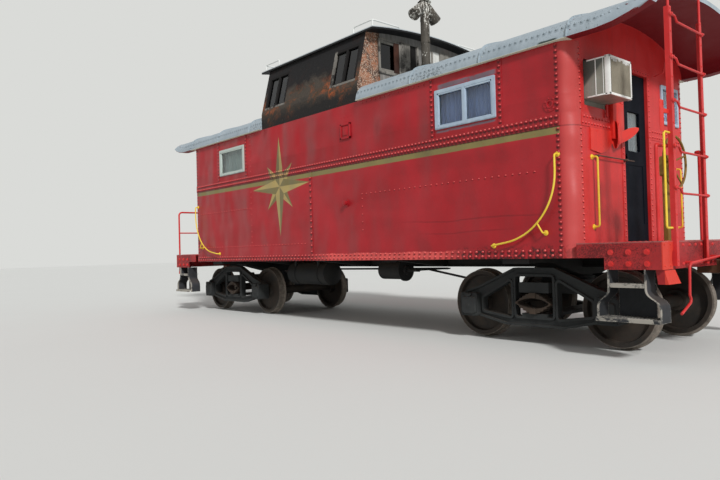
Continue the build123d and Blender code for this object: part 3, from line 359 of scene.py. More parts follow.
def edge_group():
    """Where a piece's edges are rubbed bare."""
    tree, given, made = new_group("Edge wear", [("Width", NUMBER, 0.006), ("Break Up", NUMBER, 30.0)],
                                  [("Mask", NUMBER)])
    soft = put(tree, "ShaderNodeBevel", {"Radius": given["Width"]}, samples=4).outputs[0]
    true = put(tree, "ShaderNodeNewGeometry").outputs["Normal"]
    same = put(tree, "ShaderNodeVectorMath", {0: soft, 1: true}, operation="DOT_PRODUCT").outputs["Value"]
    edge = between(same, 0.985, 0.86)
    rubbed = between(noise(places(tree)[0], given["Break Up"], 8.0, 0.7), 0.38, 0.56)
    wire(made["Mask"], times(edge, rubbed))
    return tree


def star_group():
    """A star of four long and four short points: its mask, and which half of a point is the darker."""
    inputs = [("Centre X", NUMBER, 0.0), ("Centre Z", NUMBER, 0.0), ("Reach", NUMBER, 1.0)]
    tree, given, made = new_group("Painted star", inputs, [("Mask", NUMBER), ("Dark Half", NUMBER)])
    _, x, _, z = places(tree)
    u = ratio(minus(x, given["Centre X"]), given["Reach"])
    v = ratio(minus(z, given["Centre Z"]), given["Reach"])
    diagonal = math.sqrt(0.5)
    p = times(plus(u, v), diagonal)
    q = times(minus(v, u), diagonal)

    def rays(first, second, long, waist):
        a, b = unsigned(first), unsigned(second)
        along = [plus(ratio(m, long), ratio(n, waist)) for m, n in ((a, b), (b, a))]
        inside = between(least(*along), 0.992, 1.008, 1.0, 0.0)
        side = times(times(first, second), minus(a, b))
        return inside, is_over(side, 0.0)

    long_rays, long_side = rays(u, v, 1.0, 0.17)
    short_rays, short_side = rays(p, q, 0.62, 0.17)
    wire(made["Mask"], most(long_rays, short_rays))
    side = put(tree, "ShaderNodeMix", {0: long_rays, 2: short_side, 3: long_side}, data_type="FLOAT")
    wire(made["Dark Half"], side.outputs[0])
    return tree


def speckle_group():
    """Scattered pits or spatters of paint."""
    inputs = [("Scale", NUMBER, 30.0), ("Amount", NUMBER, 0.3), ("Stretch", NUMBER, 1.0)]
    tree, given, made = new_group("Speckles", inputs, [("Mask", NUMBER)])
    where, x, y, z = places(tree)
    tall = ratio(z, given["Stretch"])
    spread = put(tree, "ShaderNodeCombineXYZ", {0: x, 1: y, 2: tall}).outputs[0]
    dots = noise(spread, given["Scale"], 4.0, 0.75, 0.6)
    clouds = noise(where, 1.7, 4.0, 0.6)
    level = minus(0.86, times(given["Amount"], clouds))
    mask = put(tree, "ShaderNodeMapRange", {0: dots, 1: level, 2: plus(level, 0.03)}, clamp=True)
    wire(made["Mask"], mask.outputs[0])
    return tree


def wood_group():
    """Weathered grain: light and dark lines along one axis, as a mask and a height."""
    inputs = [("Along X", NUMBER, 1.0), ("Along Y", NUMBER, 30.0), ("Along Z", NUMBER, 30.0)]
    tree, given, made = new_group("Wood grain", inputs, [("Grain", NUMBER), ("Height", NUMBER)])
    where = places(tree)[0]
    lengths = put(tree, "ShaderNodeCombineXYZ", {0: given[0], 1: given[1], 2: given[2]}).outputs[0]
    grain = noise(stretched(where, lengths), 2.0, 9.0, 0.72, 0.5)
    wire(made["Grain"], between(grain, 0.32, 0.68))
    wire(made["Height"], grain)
    return tree


GROUPS = {}
GROUP_MAKERS = {"weather": weather_group, "edge": edge_group, "star": star_group, "speckle": speckle_group,
                "wood": wood_group}
FINISHES = {}


class Finish:
    """A material under construction: its shade is laid on in coats, and its shader is wired last."""

    def __init__(self, name):
        self.material = bpy.data.materials.new(name)
        self.material.use_nodes = True
        self.tree = self.material.node_tree
        self.tree.nodes.clear()
        self.shader = put(self.tree, "ShaderNodeBsdfPrincipled")
        put(self.tree, "ShaderNodeOutputMaterial", {0: self.shader.outputs[0]})
        self.shade = None
        FINISHES[name] = self.material

    def effect(self, name, values):
        """A shared effect with its own values. Its group is built the first time that it is used."""
        if name not in GROUPS:
            GROUPS[name] = GROUP_MAKERS[name]()
        node = put(self.tree, "ShaderNodeGroup", node_tree=GROUPS[name])
        for socket, value in values.items():
            wire(node.inputs[socket], value)
        return node.outputs

    def weather(self, paint, faded, **values):
        """Start from weathered paint, and give back its roughness and height."""
        settings = {"Paint": paint, "Faded": faded, "Dirt": paints().iron, "Rust": paints().rust}
        settings.update({key.replace("_", " ").title(): value for key, value in values.items()})
        out = self.effect("weather", settings)
        self.shade = out["Color"]
        return out["Roughness"], out["Height"]

    def lay(self, mask, top, amount=None):
        """Lay a colour over the shade by a mask."""
        self.shade = over(times(mask, amount) if amount else mask, self.shade, top)

    def worn(self, bare, width=0.006, break_up=30.0, amount=1.0):
        """Lay a bare colour along the edges."""
        self.lay(self.effect("edge", {"Width": width, "Break Up": break_up})["Mask"], bare, amount)

    def star(self):
        """The painted star's mask, and its colour at each half of a point."""
        p, s = paints(), sizes()
        star = self.effect("star", {"Centre X": s.figure_x, "Centre Z": s.figure_z, "Reach": s.figure_r})
        return star["Mask"], over(star["Dark Half"], p.figure, p.stripe)

    def close(self, rough, height=None, depth=0.002, metallic=0.0, shine=0.2, **sockets):
        """Wire up the shader."""
        wire(self.shader.inputs["Base Color"], self.shade)
        wire(self.shader.inputs["Roughness"], rough)
        self.shader.inputs["Metallic"].default_value = metallic
        if not self.shader.inputs["Transmission Weight"].default_value:
            self.shader.inputs["Specular IOR Level"].default_value = shine
        for key, value in sockets.items():
            self.shader.inputs[key.replace("_", " ")].default_value = value
        if height is not None:
            bump = put(self.tree, "ShaderNodeBump", {"Strength": 0.6, "Distance": depth, "Height": height})
            wire(self.shader.inputs["Normal"], bump.outputs[0])


def side_paint():
    """Side walls: red with the stripe, the star, a scraped sill and a pale inside, with painted shade under
    the rivets, the belt's edge and two creases, and a painted highlight on the rounded corners.
    """
    make, p, s = Finish("side_red"), paints(), sizes()
    where, x, y, z = places(make.tree)
    rough, height = make.weather(p.side_red, p.side_faded, fade=0.45, streaks=0.05, grime=0.3, rusting=0.10,
                                 gloss=0.34, patch_scale=0.9)
    # The rounded corners are lightened: partly sun-bleached paint, mostly a painted highlight of the sun's
    # glare.
    bleached = between(unsigned(x), WALL_X - CORNER, WALL_X - CORNER * 0.5, 0.0, 0.38)
    make.lay(bleached, "D9665F")
    edge = times(minus(noise(where, 3.0), 0.5), 0.012)
    stripe = within(plus(z, edge), s.belt_low - s.stripe_depth, s.belt_low - 0.001, 0.003)
    stripe = times(stripe, is_under(unsigned(x), WALL_X - 0.15))
    chips = between(noise(where, 22.0, 8.0, 0.7), 0.60, 0.70, 1.0, 0.25)
    gold = over(noise(where, 5.0, 8.0, 0.7), p.stripe, "8A7F4C")
    make.lay(times(stripe, chips), gold)
    star, star_shade = make.star()
    make.lay(times(star, chips), star_shade)
    close_rows, wide_rows, _, corner_rows = side_rows(-1)
    # Painted shade: dark spots below each rivet head of the side rows.
    spots = 0.0
    for rows, pitch, reach in ((close_rows, s.rivet_pitch, 0.040), (wide_rows, s.wide_pitch, 0.040),
                               (corner_rows, s.rivet_pitch, 0.030)):
        spots = most(spots, rivet_shade_spots(make.tree, [(a[0], b[0]) for a, b in rows], pitch, reach))
    spots = times(spots, is_over(unsigned(y), WALL_Y - 0.02))
    make.lay(spots, "46090F", 0.8)
    # Painted shade: a dark line under the belt plate's lower edge.
    belt_edge_shade = within(z, s.belt_low - 0.010, s.belt_low + 0.004, 0.004)
    make.lay(belt_edge_shade, "4A1014", 0.5)
    ragged = minus(z, times(noise(where, 2.6, 9.0, 0.75), 0.13))
    sill = times(between(ragged, SILL_Z + 0.030, SILL_Z + 0.042, 0.8, 0.0), within(x, -0.05, 2.6, 0.3))
    make.lay(sill, "DB5A55")
    blotch = between(noise(where, 14.0, 8.0, 0.75), 0.50, 0.58)
    rusted = times(blotch, within(x, 2.7, WALL_X - 0.13, 0.15))
    rusted = times(rusted, between(z, SILL_Z + 0.09, SILL_Z + 0.17, 0.9, 0.0))
    make.lay(rusted, "2C1010")
    wavy = plus(z, times(noise(where, 6.0), 0.03))
    drip = times(within(wavy, 3.166, 3.222, 0.006), within(x, 2.44, 3.32, 0.02))
    under = times(within(wavy, 2.620, 2.646, 0.006), within(x, 2.40, 3.30, 0.02))
    drip = times(most(drip, under), between(noise(where, 9.0, 6.0, 0.7), 0.36, 0.48, 0.25, 0.85))
    make.lay(drip, "686570")
    # Painted shade along two creases in the sheet; the same lines also dent the bump.
    bowed = plus(z, times(noise(stretched(where, (0.7, 1.0, 1.0)), 1.0), 0.10))
    shaded_crease = times(within(bowed, 1.548, 1.556, 0.010), within(x, 1.9, 3.9, 0.25))
    other = times(within(bowed, 1.398, 1.404, 0.010), within(x, 2.2, 3.4, 0.2))
    shaded_crease = most(shaded_crease, other)
    make.lay(shaded_crease, "560B12", 0.6)
    inside = is_under(unsigned(y), WALL_Y - 0.07)
    inside = times(inside, is_under(unsigned(x), WALL_X - WALL_T + 0.004))
    make.lay(inside, "B9BFA6")
    sheet = noise(stretched(where, (2.1, 1.0, 1.3)), 1.0, 1.0, 0.4)
    waves = noise(stretched(where, (0.8, 1.0, 3.4)), 1.0, 0.5, 0.4)
    upper = between(z, s.belt_high, s.belt_high + 0.2, 0.9, 1.3)
    dents = plus(times(sheet, times(upper, 62.0)), times(waves, 26.0))
    dents = plus(dents, times(minus(sill, shaded_crease), 2.2))
    make.close(rough, plus(dents, height), 0.0035, shine=0.35)


def end_paint(name, red, faded, rusting, inside=False):
    """Brighter red of the ends, ladders and platforms, partly lightened as painted light, rubbed along its
    edges.
    """
    make = Finish(name)
    rough, height = make.weather(red, faded, fade=0.5, streaks=0.2, grime=0.3, rusting=rusting, gloss=0.38,
                                 patch_scale=2.2)
    make.worn("E0615A", 0.008, 24.0, 0.5)
    if inside:
        x = places(make.tree)[1]
        deep = is_under(unsigned(x), WALL_X - WALL_T + 0.004)
        make.lay(deep, "B9BFA6")
    make.close(rough, height, 0.002, shine=0.3)


def platform_paint():
    """Platforms: dull red with pitted sides, trodden tops and a painted highlight on the corner caps."""
    make = Finish("platform_red")
    where, x, y, z = places(make.tree)
    rough, height = make.weather("981C20", "AE3434", fade=0.7, streaks=0.1, grime=0.4, rusting=0.25,
                                 gloss=0.45, patch_scale=3.0)
    pits = make.effect("speckle", {"Scale": 75.0, "Amount": 0.62, "Stretch": 1.0})["Mask"]
    make.lay(pits, "4A1416", 0.75)
    # Painted highlight: the end faces of the corner caps are laid in a brighter red.
    cap_highlight = times(is_over(unsigned(x), PLATFORM_X + 0.002), is_over(unsigned(y), 1.0))
    make.lay(cap_highlight, "D8402F", 0.8)
    rubbed = times(within(z, DECK_Z - 0.012, DECK_Z + 0.02, 0.002),
                   between(noise(stretched(where, (3.0, 3.0, 3.0)), 1.0, 6.0, 0.7), 0.35, 0.6, 0.2, 0.8))
    make.lay(rubbed, "9A6E6A")
    make.close(rough, minus(height, pits), 0.002, shine=0.3)


def rivet_paint(name, red, light):
    """Rivet heads: a painted highlight on top, painted shade beneath, and ochre where the star crosses them.
    """
    make = Finish(name)
    rough, height = make.weather(red, light, fade=0.8, grime=0.2, rusting=0.12, gloss=0.34, patch_scale=9.0)
    star, star_shade = make.star()
    out_y = unsigned(places(make.tree)[2])
    make.lay(times(star, is_over(out_y, WALL_Y - 0.01)), star_shade)
    tilt = facing(make.tree)
    # Painted shade on the heads' lower faces, and a painted highlight on their upper faces.
    make.lay(between(tilt, -0.2, -0.8, 0.0, 0.75), "3E080E")
    make.lay(between(tilt, 0.05, 0.7, 0.0, 0.7), "F07A72")
    make.close(rough, height, 0.001, shine=0.4)


def roof_paint():
    """Silver roof with dark pits, dull runs below the seams, painted shade below the eave rivets and a red
    underside darkened as painted shade.
    """
    make, p = Finish("roof_silver"), paints()
    where, x, y, z = places(make.tree)
    rough, height = make.weather(p.silver, "AAB5BC", fade=0.8, streaks=0.26, grime=0.35, rusting=0.04,
                                 gloss=0.5, patch_scale=3.4, dirt="5C6463")
    # Painted shade below each rivet of the eave rows.
    rows = [((start, 0, EAVE_Z + ROOF_ROW_UP), (turn * UPSWEEP_X, 0, EAVE_Z + ROOF_ROW_UP))
            for start, turn in ((CUPOLA_HIGH_X + 0.03, 1), (CUPOLA_LOW_X - 0.03, -1))]
    make.lay(rivet_shade_spots(make.tree, rows, ROOF_PITCH, 0.030), "5E696F", 0.40)
    pits = make.effect("speckle", {"Scale": 38.0, "Amount": 0.46, "Stretch": 1.3})["Mask"]
    make.lay(pits, "4A4F50", 0.8)
    patch = noise(where, 9.0, 8.0, 0.7, 0.8)
    torn = times(within(x, 3.92, 4.14, 0.02), within(plus(z, times(patch, 0.03)), 3.29, 3.352, 0.006))
    make.lay(torn, "38423F")
    # The red underside is darkened as painted shade; over the platforms the underside is pale.
    below = over(is_over(unsigned(x), WALL_X - 0.01), "C4C6B4", p.underside_shade_red)
    inner = most(is_under(unsigned(y), ROOF_HALF - 0.045), is_under(z, EAVE_Z + 0.09))
    make.lay(times(is_under(facing(make.tree), -0.02), inner), below)
    make.close(rough, minus(height, pits), 0.0025, 0.0)


def burnt_sheet():
    """Cupola sheets: soot from the top down, which also serves as painted shadow under the roof, bare rust in
    patches and pale ash below.
    """
    make, p = Finish("burnt_sheet"), paints()
    where, x, y, z = places(make.tree)
    broad = noise(stretched(where, (1.0, 1.0, 1.4)), 2.3, 9.0, 0.68, 0.5)
    fine = noise(where, 30.0, 9.0, 0.75)
    grey = over(between(fine, 0.35, 0.7), "34312D", "5B5148")
    make.shade = over(between(broad, 0.46, 0.60), grey, "453A2E")
    orange = times(between(broad, 0.50, 0.60), between(noise(where, 11.0, 9.0, 0.75, 0.6), 0.44, 0.62))
    make.lay(orange, over(fine, p.ember, "B0603A"))
    post = is_over(x, CUPOLA_HIGH_X - 0.004)
    across = unsigned(y)
    corner = times(post, between(across, 0.98, 1.06))
    blotches = between(noise(where, 7.0, 9.0, 0.75, 0.5), 0.46, 0.56)
    scaled = over(blotches, "9A6448", "4A342C")
    scaled = over(between(noise(where, 48.0, 6.0, 0.8), 0.50, 0.58), scaled, "C2B09E")
    make.lay(corner, scaled)
    boards = times(post, is_under(across, 0.98))
    pale = make.effect("wood", {"Along X": 30.0, "Along Y": 14.0, "Along Z": 1.4})["Grain"]
    make.lay(boards, over(pale, "6E6A66", "9C9A96"), 0.85)
    panel = times(boards, times(within(y, 0.03, 0.46, 0.01), is_under(z, CUPOLA_HEADER_Z)))
    make.lay(panel, over(pale, "CBCAC4", "E6E6E0"))
    dark_gap = times(boards, times(within(y, -0.345, -0.195, 0.012), is_under(z, CUPOLA_HEADER_Z)))
    make.lay(dark_gap, "161413")
    # The black top is soot, and it also stands in as the painted shadow of the cupola roof.
    smoke = plus(z, times(broad, 0.9))
    top = between(smoke, EAVE_Z + 0.95, EAVE_Z + 1.10, 0.0, 0.95)
    low = plus(z, times(broad, 0.5))
    foot = between(low, EAVE_Z + 0.36, EAVE_Z + 0.54, 0.86, 0.0)
    side = minus(1.0, times(post, 0.92))
    make.lay(times(most(top, foot), side), p.soot)
    specks = between(noise(where, 60.0, 4.0, 0.7), 0.66, 0.70, 0.0, 0.6)
    make.lay(times(specks, foot), "9A958F")
    make.close(between(fine, 0.3, 0.7, 0.62, 0.92), plus(fine, broad), 0.004)


def cupola_roof_paint():
    """Cupola roof: silver on top, black along its edges and sooty beneath."""
    make, p = Finish("cupola_roof_black"), paints()
    _, _, y, z = places(make.tree)
    rough, height = make.weather("B4BCC0", "D0D4D4", fade=0.7, streaks=0.1, grime=0.6, rusting=0.14,
                                 gloss=0.5, dirt="3A3B3A")
    rise = 0.100
    radius = (CUPOLA_ROOF_HIGH.y**2 + rise**2) / (2 * rise)
    arch = root(minus(radius**2, times(y, y)))
    depth = minus(plus(arch, CUPOLA_ROOF_HIGH.z - radius), z)
    make.lay(times(is_over(depth, 0.013), is_under(facing(make.tree), 0.5)), p.soot)
    make.close(rough, height, 0.003)


def burnt_timber():
    """Bare grey wood of the cupola's window frames, charred in places."""
    make, p = Finish("burnt_timber"), paints()
    where, x, y, z = places(make.tree)
    wood = make.effect("wood", {"Along X": 20.0, "Along Y": 20.0, "Along Z": 1.6})
    make.shade = over(wood["Grain"], "6A6660", p.timber)
    char = between(noise(where, 3.4, 9.0, 0.7, 0.6), 0.50, 0.60, 0.0, 0.85)
    side = is_over(unsigned(y), 1.06)
    bare = most(within(x, 0.20, 0.30, 0.01), is_under(z, 3.665))
    bare = times(bare, between(noise(where, 5.0, 6.0, 0.7), 0.40, 0.46, 0.1, 0.85))
    burnt = times(side, minus(1.0, bare))
    make.lay(most(char, burnt), "1B1919")
    make.close(0.85, wood["Height"], 0.003)


def iron_work(name, base, faded, rusting, bare=None, gloss=0.62):
    """Dark iron with dust, rust and, where asked, edges rubbed bright."""
    make, p = Finish(name), paints()
    rough, height = make.weather(base, faded, fade=0.7, streaks=0.15, grime=0.4, rusting=rusting, gloss=gloss,
                                 patch_scale=4.5, dirt="171614")
    make.lay(between(facing(make.tree), 0.3, 0.95, 0.0, 0.45), p.dust)
    if bare:
        make.worn(bare, 0.010, 18.0)
        where, _, y, _ = places(make.tree)
        scuffed = times(between(unsigned(y), 1.41, 1.43),
                        between(noise(where, 4.5, 8.0, 0.7, 0.4), 0.47, 0.52, 0.0, 0.85))
        make.lay(scuffed, bare)
    make.close(rough, height, 0.003, 0.1)


def wheel_iron():
    """Wheels: grimy plates, and treads and rims that have rolled bright."""
    make = Finish("wheel_iron")
    rough, height = make.weather("33302D", "4A4038", fade=0.8, grime=0.5, rusting=0.35, gloss=0.6,
                                 patch_scale=6.0, streaks=0.0)
    where, x, _, z = places(make.tree)
    boxes = [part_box(f"wheelset_{number}") for number in (1, 2, 3, 4)]
    one, two, three, four = (unsigned(minus(x, (low.x + high.x) / 2)) for low, high in boxes)
    radius = hypotenuse(least(least(one, two), least(three, four)), minus(z, AXLE_Z))
    tread = times(between(radius, 0.408, 0.414), between(noise(where, 16.0, 6.0, 0.7), 0.35, 0.6, 0.35, 0.9))
    make.lay(tread, "8B8278")
    make.close(rough, height, 0.003, 0.15)


def plain_finish(name, base, faded, rust_amount, gloss=0.4, chip=None, **sockets):
    """Painted or coated fittings, chipped along their edges where asked."""
    make = Finish(name)
    rough, height = make.weather(base, faded, fade=0.6, streaks=0.12, grime=0.28, rusting=rust_amount,
                                 gloss=gloss, patch_scale=5.0)
    if chip:
        make.worn(chip, 0.005, 34.0, 0.8)
    make.close(rough, height, 0.0012, **sockets)


def sash_finish():
    """Window frames: pale blue-white, greener at end b, with grey grime along their sills."""
    make, p = Finish("sash_pale"), paints()
    where, x, _, z = places(make.tree)
    rough, height = make.weather(p.sash, "B6C8D4", fade=0.7, streaks=0.2, grime=0.35, rusting=0.02, gloss=0.4,
                                 patch_scale=6.0, dirt="59626A")
    make.lay(is_under(x, 0.0), "B9C3BC")
    worn = plus(z, times(noise(where, 14.0, 8.0, 0.7), 0.05))
    sill = within(worn, WINDOW_LOW - 0.04, WINDOW_LOW + 0.035, 0.012)
    make.lay(sill, "5E656B", 0.75)
    make.close(rough, height, 0.0015)


def conditioner_finish():
    """Air conditioner: smoked side panels with a painted shadow over their upper part, a dark joint and an
    olive-grey screen.
    """
    make = Finish("conditioner_white")
    where, x, _, z = places(make.tree)
    rough, height = make.weather("8B8C82", "7B7A6E", fade=0.8, streaks=0.3, grime=0.3, rusting=0.06,
                                 gloss=0.35, patch_scale=4.0)
    # Painted shadow: the side panels are laid dark above a diagonal.
    make.lay(between(minus(z, x), -1.44, -1.40, 0.0, 0.8), "343B38")
    screen = over(noise(where, 18.0, 8.0, 0.7), "7C7A6A", "A09C8A")
    make.lay(is_over(x, AC_HIGH.x - 0.030), screen)
    make.lay(is_under(z, AC_LOW.z + 0.004), "B05A3A")
    make.close(rough, height, 0.001, shine=0.4)


def jack_finish():
    """Smoke jack: dull pipe with white spatter that runs down it."""
    make = Finish("jack_grey")
    rough, height = make.weather("46423C", "625C54", fade=0.8, streaks=0.5, grime=0.5, rusting=0.2, gloss=0.6,
                                 patch_scale=8.0)
    where, _, y, z = places(make.tree)
    spatter = make.effect("speckle", {"Scale": 30.0, "Amount": 0.50, "Stretch": 2.4})["Mask"]
    limed = times(is_over(z, 4.660), between(plus(y, times(noise(where, 9.0), 0.06)), -0.70, -0.68))
    make.lay(most(spatter, limed), "DAD8D0")
    make.close(rough, height, 0.002, 0.1)


def glass_finish():
    """Window glass: clear below, smoked in the burnt cupola."""
    make = Finish("window_glass")
    where, _, _, z = places(make.tree)
    smoked = is_over(z, EAVE_Z + 0.02)
    film = noise(stretched(where, (6.0, 6.0, 1.2)), 1.0, 6.0, 0.65)
    clear = over(between(film, 0.4, 0.75), "F2F6F8", "D4DDE2")
    make.shade = over(smoked, clear, "141C3C")
    rough = between(film, 0.4, 0.8, 0.02, 0.10)
    make.shader.inputs["Transmission Weight"].default_value = 1.0
    make.shader.inputs["IOR"].default_value = 1.45
    make.close(rough)


def cloth_finish(name, base, other):
    """Curtain cloth: a fine plain weave, a little sun-stained."""
    make = Finish(name)
    where = places(make.tree)[0]
    weave = times(*(put(make.tree, "ShaderNodeTexWave", {"Vector": where, "Scale": 260.0, "Distortion": 0.6},
                        bands_direction=way).outputs[1] for way in ("X", "Z")))
    stain = between(noise(stretched(where, (5.0, 5.0, 0.8)), 1.3, 6.0), 0.4, 0.7)
    make.shade = over(stain, base, other)
    make.lay(weave, "6F7B88", 0.18)
    make.close(0.85, weave, 0.0006, Sheen_Weight=0.25)


def mix_all_finishes():
    """Every finish, made once."""
    p = paints()
    side_paint()
    rivet_paint("side_rivets", p.side_red, p.side_faded)
    rivet_paint("end_rivets", p.end_red, "D8484A")
    end_paint("end_red", p.end_red, "D8484A", 0.10, inside=True)
    # A lighter red for the end panel, board, scoop and lamp plate: partly their own paint, partly painted
    # sunlight.
    end_paint("bright_red", "D42A22", "E2493C", 0.06)
    platform_paint()
    roof_paint()
    burnt_sheet()
    cupola_roof_paint()
    burnt_timber()
    iron_work("charred_board", "3A2620", "5A3426", 0.5)
    iron_work("truck_iron", p.iron, "3C3E3D", 0.22)
    iron_work("frame_black", "232526", "34322F", 0.2)
    iron_work("step_iron", "2C2E30", "45464A", 0.15, bare=p.steel)
    iron_work("coupler_rust", "4A3226", "6A4632", 0.5)
    iron_work("brake_ochre", p.ochre, "8F7238", 0.25, gloss=0.5)
    iron_work("spring_steel", "3A332E", "54463A", 0.4)
    wheel_iron()
    plain_finish("rail_white", p.white, "CFD2CF", 0.12, chip="7D7A72")
    conditioner_finish()
    plain_finish("case_rim", "EDEEEA", "DADBD6", 0.04)
    plain_finish("grille_beige", "A39C8C", "8D8778", 0.1)
    sash_finish()
    plain_finish("door_navy", p.navy, "0C1018", 0.05, gloss=0.6, chip="1C2330", shine=0.08)
    plain_finish("grab_yellow", p.yellow, "F0D860", 0.16, chip="8A4A22")
    plain_finish("floor_brown", "6A5646", "7C6854", 0.05, gloss=0.6)
    plain_finish("rail_iron", "4B3A30", "5E4A3C", 0.4)
    jack_finish()
    glass_finish()
    # The blue curtains carry a painted reflection of the sky in their cloth colour.
    cloth_finish("curtain_blue", p.cloth, "6A80B2")
    cloth_finish("curtain_green", "A9B8AE", "8FA298")
    cloth_finish("curtain_grey", "9AA2A6", "7F888D")


NODE_FINISHES = (  # start of the node's name, finish
    ("side_wall", "side_red"), ("end_wall", "end_red"), ("floor", "floor_brown"),
    ("main_roof", "roof_silver"),
    ("cupola_walls", "burnt_sheet"), ("cupola_roof", "cupola_roof_black"), ("cupola_rails", "rail_white"),
    ("cupola_frames", "burnt_timber"), ("window_frames", "sash_pale"), ("window_glass", "window_glass"),
    ("door_glass", "window_glass"), ("door", "door_navy"), ("underframe", "frame_black"),
    ("platform", "platform_red"), ("steps", "step_iron"), ("coupler", "coupler_rust"),
    ("wheelset", "wheel_iron"),
    ("truck_frame", "truck_iron"), ("truck_bolster", "truck_iron"), ("springs", "spring_steel"),
    ("end_ladder", "end_red"), ("end_railing", "end_red"), ("brake_wheel", "brake_ochre"),
    ("grab_irons", "grab_yellow"), ("air_conditioner", "conditioner_white"), ("smoke_jack", "jack_grey"),
    ("air_reservoir", "frame_black"), ("brake_cylinder", "frame_black"),
    ("uncoupling_levers", "end_red"),
)


# Shape helpers


def placed(name, data):
    """An object in the scene."""
    made = bpy.data.objects.new(name, data)
    bpy.context.scene.collection.objects.link(made)
    return made


def evaluated(holder):
    """The plain mesh of an object with its modifiers applied. The object is removed."""
    bpy.context.view_layer.update()
    mesh = bpy.data.meshes.new_from_object(holder.evaluated_get(bpy.context.evaluated_depsgraph_get()))
    holder.modifiers.clear()
    bpy.data.objects.remove(holder)
    return mesh


def ride_piece(name, mesh, finish, body):
    """An object for a finished mesh, with its material and body."""
    piece = placed(name, mesh)
    mesh.materials.clear()
    mesh.materials.append(FINISHES[finish])
    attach(piece, body)
    return piece


def closed_sheet(bm, name, thickness):
    """The mesh of an open sheet once it has its thickness."""
    mesh = bpy.data.meshes.new(name)
    bm.to_mesh(mesh)
    bm.free()
    holder = placed(name + "_open", mesh)
    modifier = holder.modifiers.new("Sheet", "SOLIDIFY")
    modifier.thickness = thickness
    modifier.offset = 0
    closed = evaluated(holder)
    closed.shade_smooth()
    return closed


class Metalwork:
    """Gathers shapes into one mesh. They are given for end a, and turned half round the car for end b."""

    def __init__(self, end=1):
        self.bm = bmesh.new()
        self.end = end

    def at(self, point):
        """A point or direction of end a on this piece's end."""
        return Vector((self.end * point[0], self.end * point[1], point[2]))

    def block(self, low, high, bevel=0.0):
        """An upright block between two corners, its edges eased."""
        corners = self.at(low), self.at(high)
        low, high = (Vector(tuple(map(limit, *corners))) for limit in (min, max))
        middle = Matrix.Translation((low + high) / 2) @ Matrix.Diagonal((high - low).to_4d())
        made = bmesh.ops.create_cube(self.bm, size=1.0, matrix=middle)["verts"]
        if bevel:
            edges = list(dict.fromkeys(edge for vert in made for edge in vert.link_edges))
            bmesh.ops.bevel(self.bm, geom=edges, offset=bevel, segments=2, affect="EDGES", profile=0.5)

    def prism(self, points, depth):
        """A flat plate: an outline of points pushed along a vector."""
        bottom = [self.bm.verts.new(self.at(point)) for point in points]
        top = [self.bm.verts.new(self.at(point) + self.at(depth)) for point in points]
        self.join_rings([bottom, top])

    def ring(self, place, across, other, radius, sides):
        """A ring of points."""
        angles = (2 * math.pi * k / sides for k in range(sides))
        return [self.bm.verts.new(place + (across * math.cos(a) + other * math.sin(a)) * radius)
                for a in angles]

    def bar(self, points, radius, bend=0.0, sides=10):
        """A round bar along points, with its corners bent."""
        path = bent_path([self.at(point) for point in points], bend)
        rings, across = [], None
        for i, place in enumerate(path):
            way = (path[min(i + 1, len(path) - 1)] - path[max(i - 1, 0)]).normalized()
            across = way.orthogonal() if across is None else across
            across = (across - way * across.dot(way)).normalized()
            rings.append(self.ring(place, across, way.cross(across), radius, sides))
        self.join_rings(rings)

    def turned(self, base, axis, profile, sides=16):
        """A shape turned about an axis: the profile lists distance along it and radius."""
        base, axis = self.at(base), self.at(axis).normalized()
        across = axis.orthogonal().normalized()
        self.join_rings([self.ring(base + axis * along, across, axis.cross(across), radius, sides)
                         for along, radius in profile])

    def join_rings(self, rings):
        """Skin rings of points and close both ends."""
        for ring, following in zip(rings, rings[1:]):
            for i in range(len(ring)):
                j = (i + 1) % len(ring)
                self.bm.faces.new((ring[i], ring[j], following[j], following[i]))
        self.bm.faces.new(rings[0][::-1])
        self.bm.faces.new(rings[-1])

    def skin(self, grid):
        """Skin rows of points as an open sheet."""
        for below, above in zip(grid, grid[1:]):
            for i in range(len(below) - 1):
                self.bm.faces.new((below[i], below[i + 1], above[i + 1], above[i]))

    def grow(self, kind, lines, **values):
        """Add what a Geometry Nodes tree grows on guide lines."""
        lines = [[(self.at(point), self.at(way)) for point, way in line] for line in lines]
        mesh = grown(kind, guide_mesh(lines), values)
        self.bm.from_mesh(mesh)
        bpy.data.meshes.remove(mesh)

    def heads(self, lines, pitch, width, kind="rivets", height=None):
        """Add rows of rivets or bolts."""
        self.grow(kind, lines, Pitch=pitch, Head_Radius=width / 2, Head_Height=height or width * 0.42)

    def slats(self, count, start, step, slat):
        """Add a row of equal slats."""
        anywhere = [[((0, 0, 0), (0, 0, 1))]]
        self.grow("slats", anywhere, Count=count, Start=self.at(start), Step=self.at(step), Slat=slat)

    def settle(self):
        """Merge doubles and turn the faces outwards."""
        bmesh.ops.remove_doubles(self.bm, verts=self.bm.verts, dist=0.00001)
        bmesh.ops.recalc_face_normals(self.bm, faces=self.bm.faces)

    def finish(self, name, finish, slot, body="car", angle=35.0):
        """The piece, riding on its body."""
        self.settle()
        mesh = bpy.data.meshes.new(name)
        self.bm.to_mesh(mesh)
        self.bm.free()
        mesh.shade_smooth()
        mesh.set_sharp_from_angle(angle=math.radians(angle))
        return ride_piece(name, mesh, finish, body)

    def finish_sheet(self, name, finish, thickness):
        """An open sheet as a piece of the car, closed by giving it its thickness."""
        self.settle()
        mesh = closed_sheet(self.bm, name, thickness)
        mesh.set_sharp_from_angle(angle=math.radians(40))
        return ride_piece(name, mesh, finish, "car")


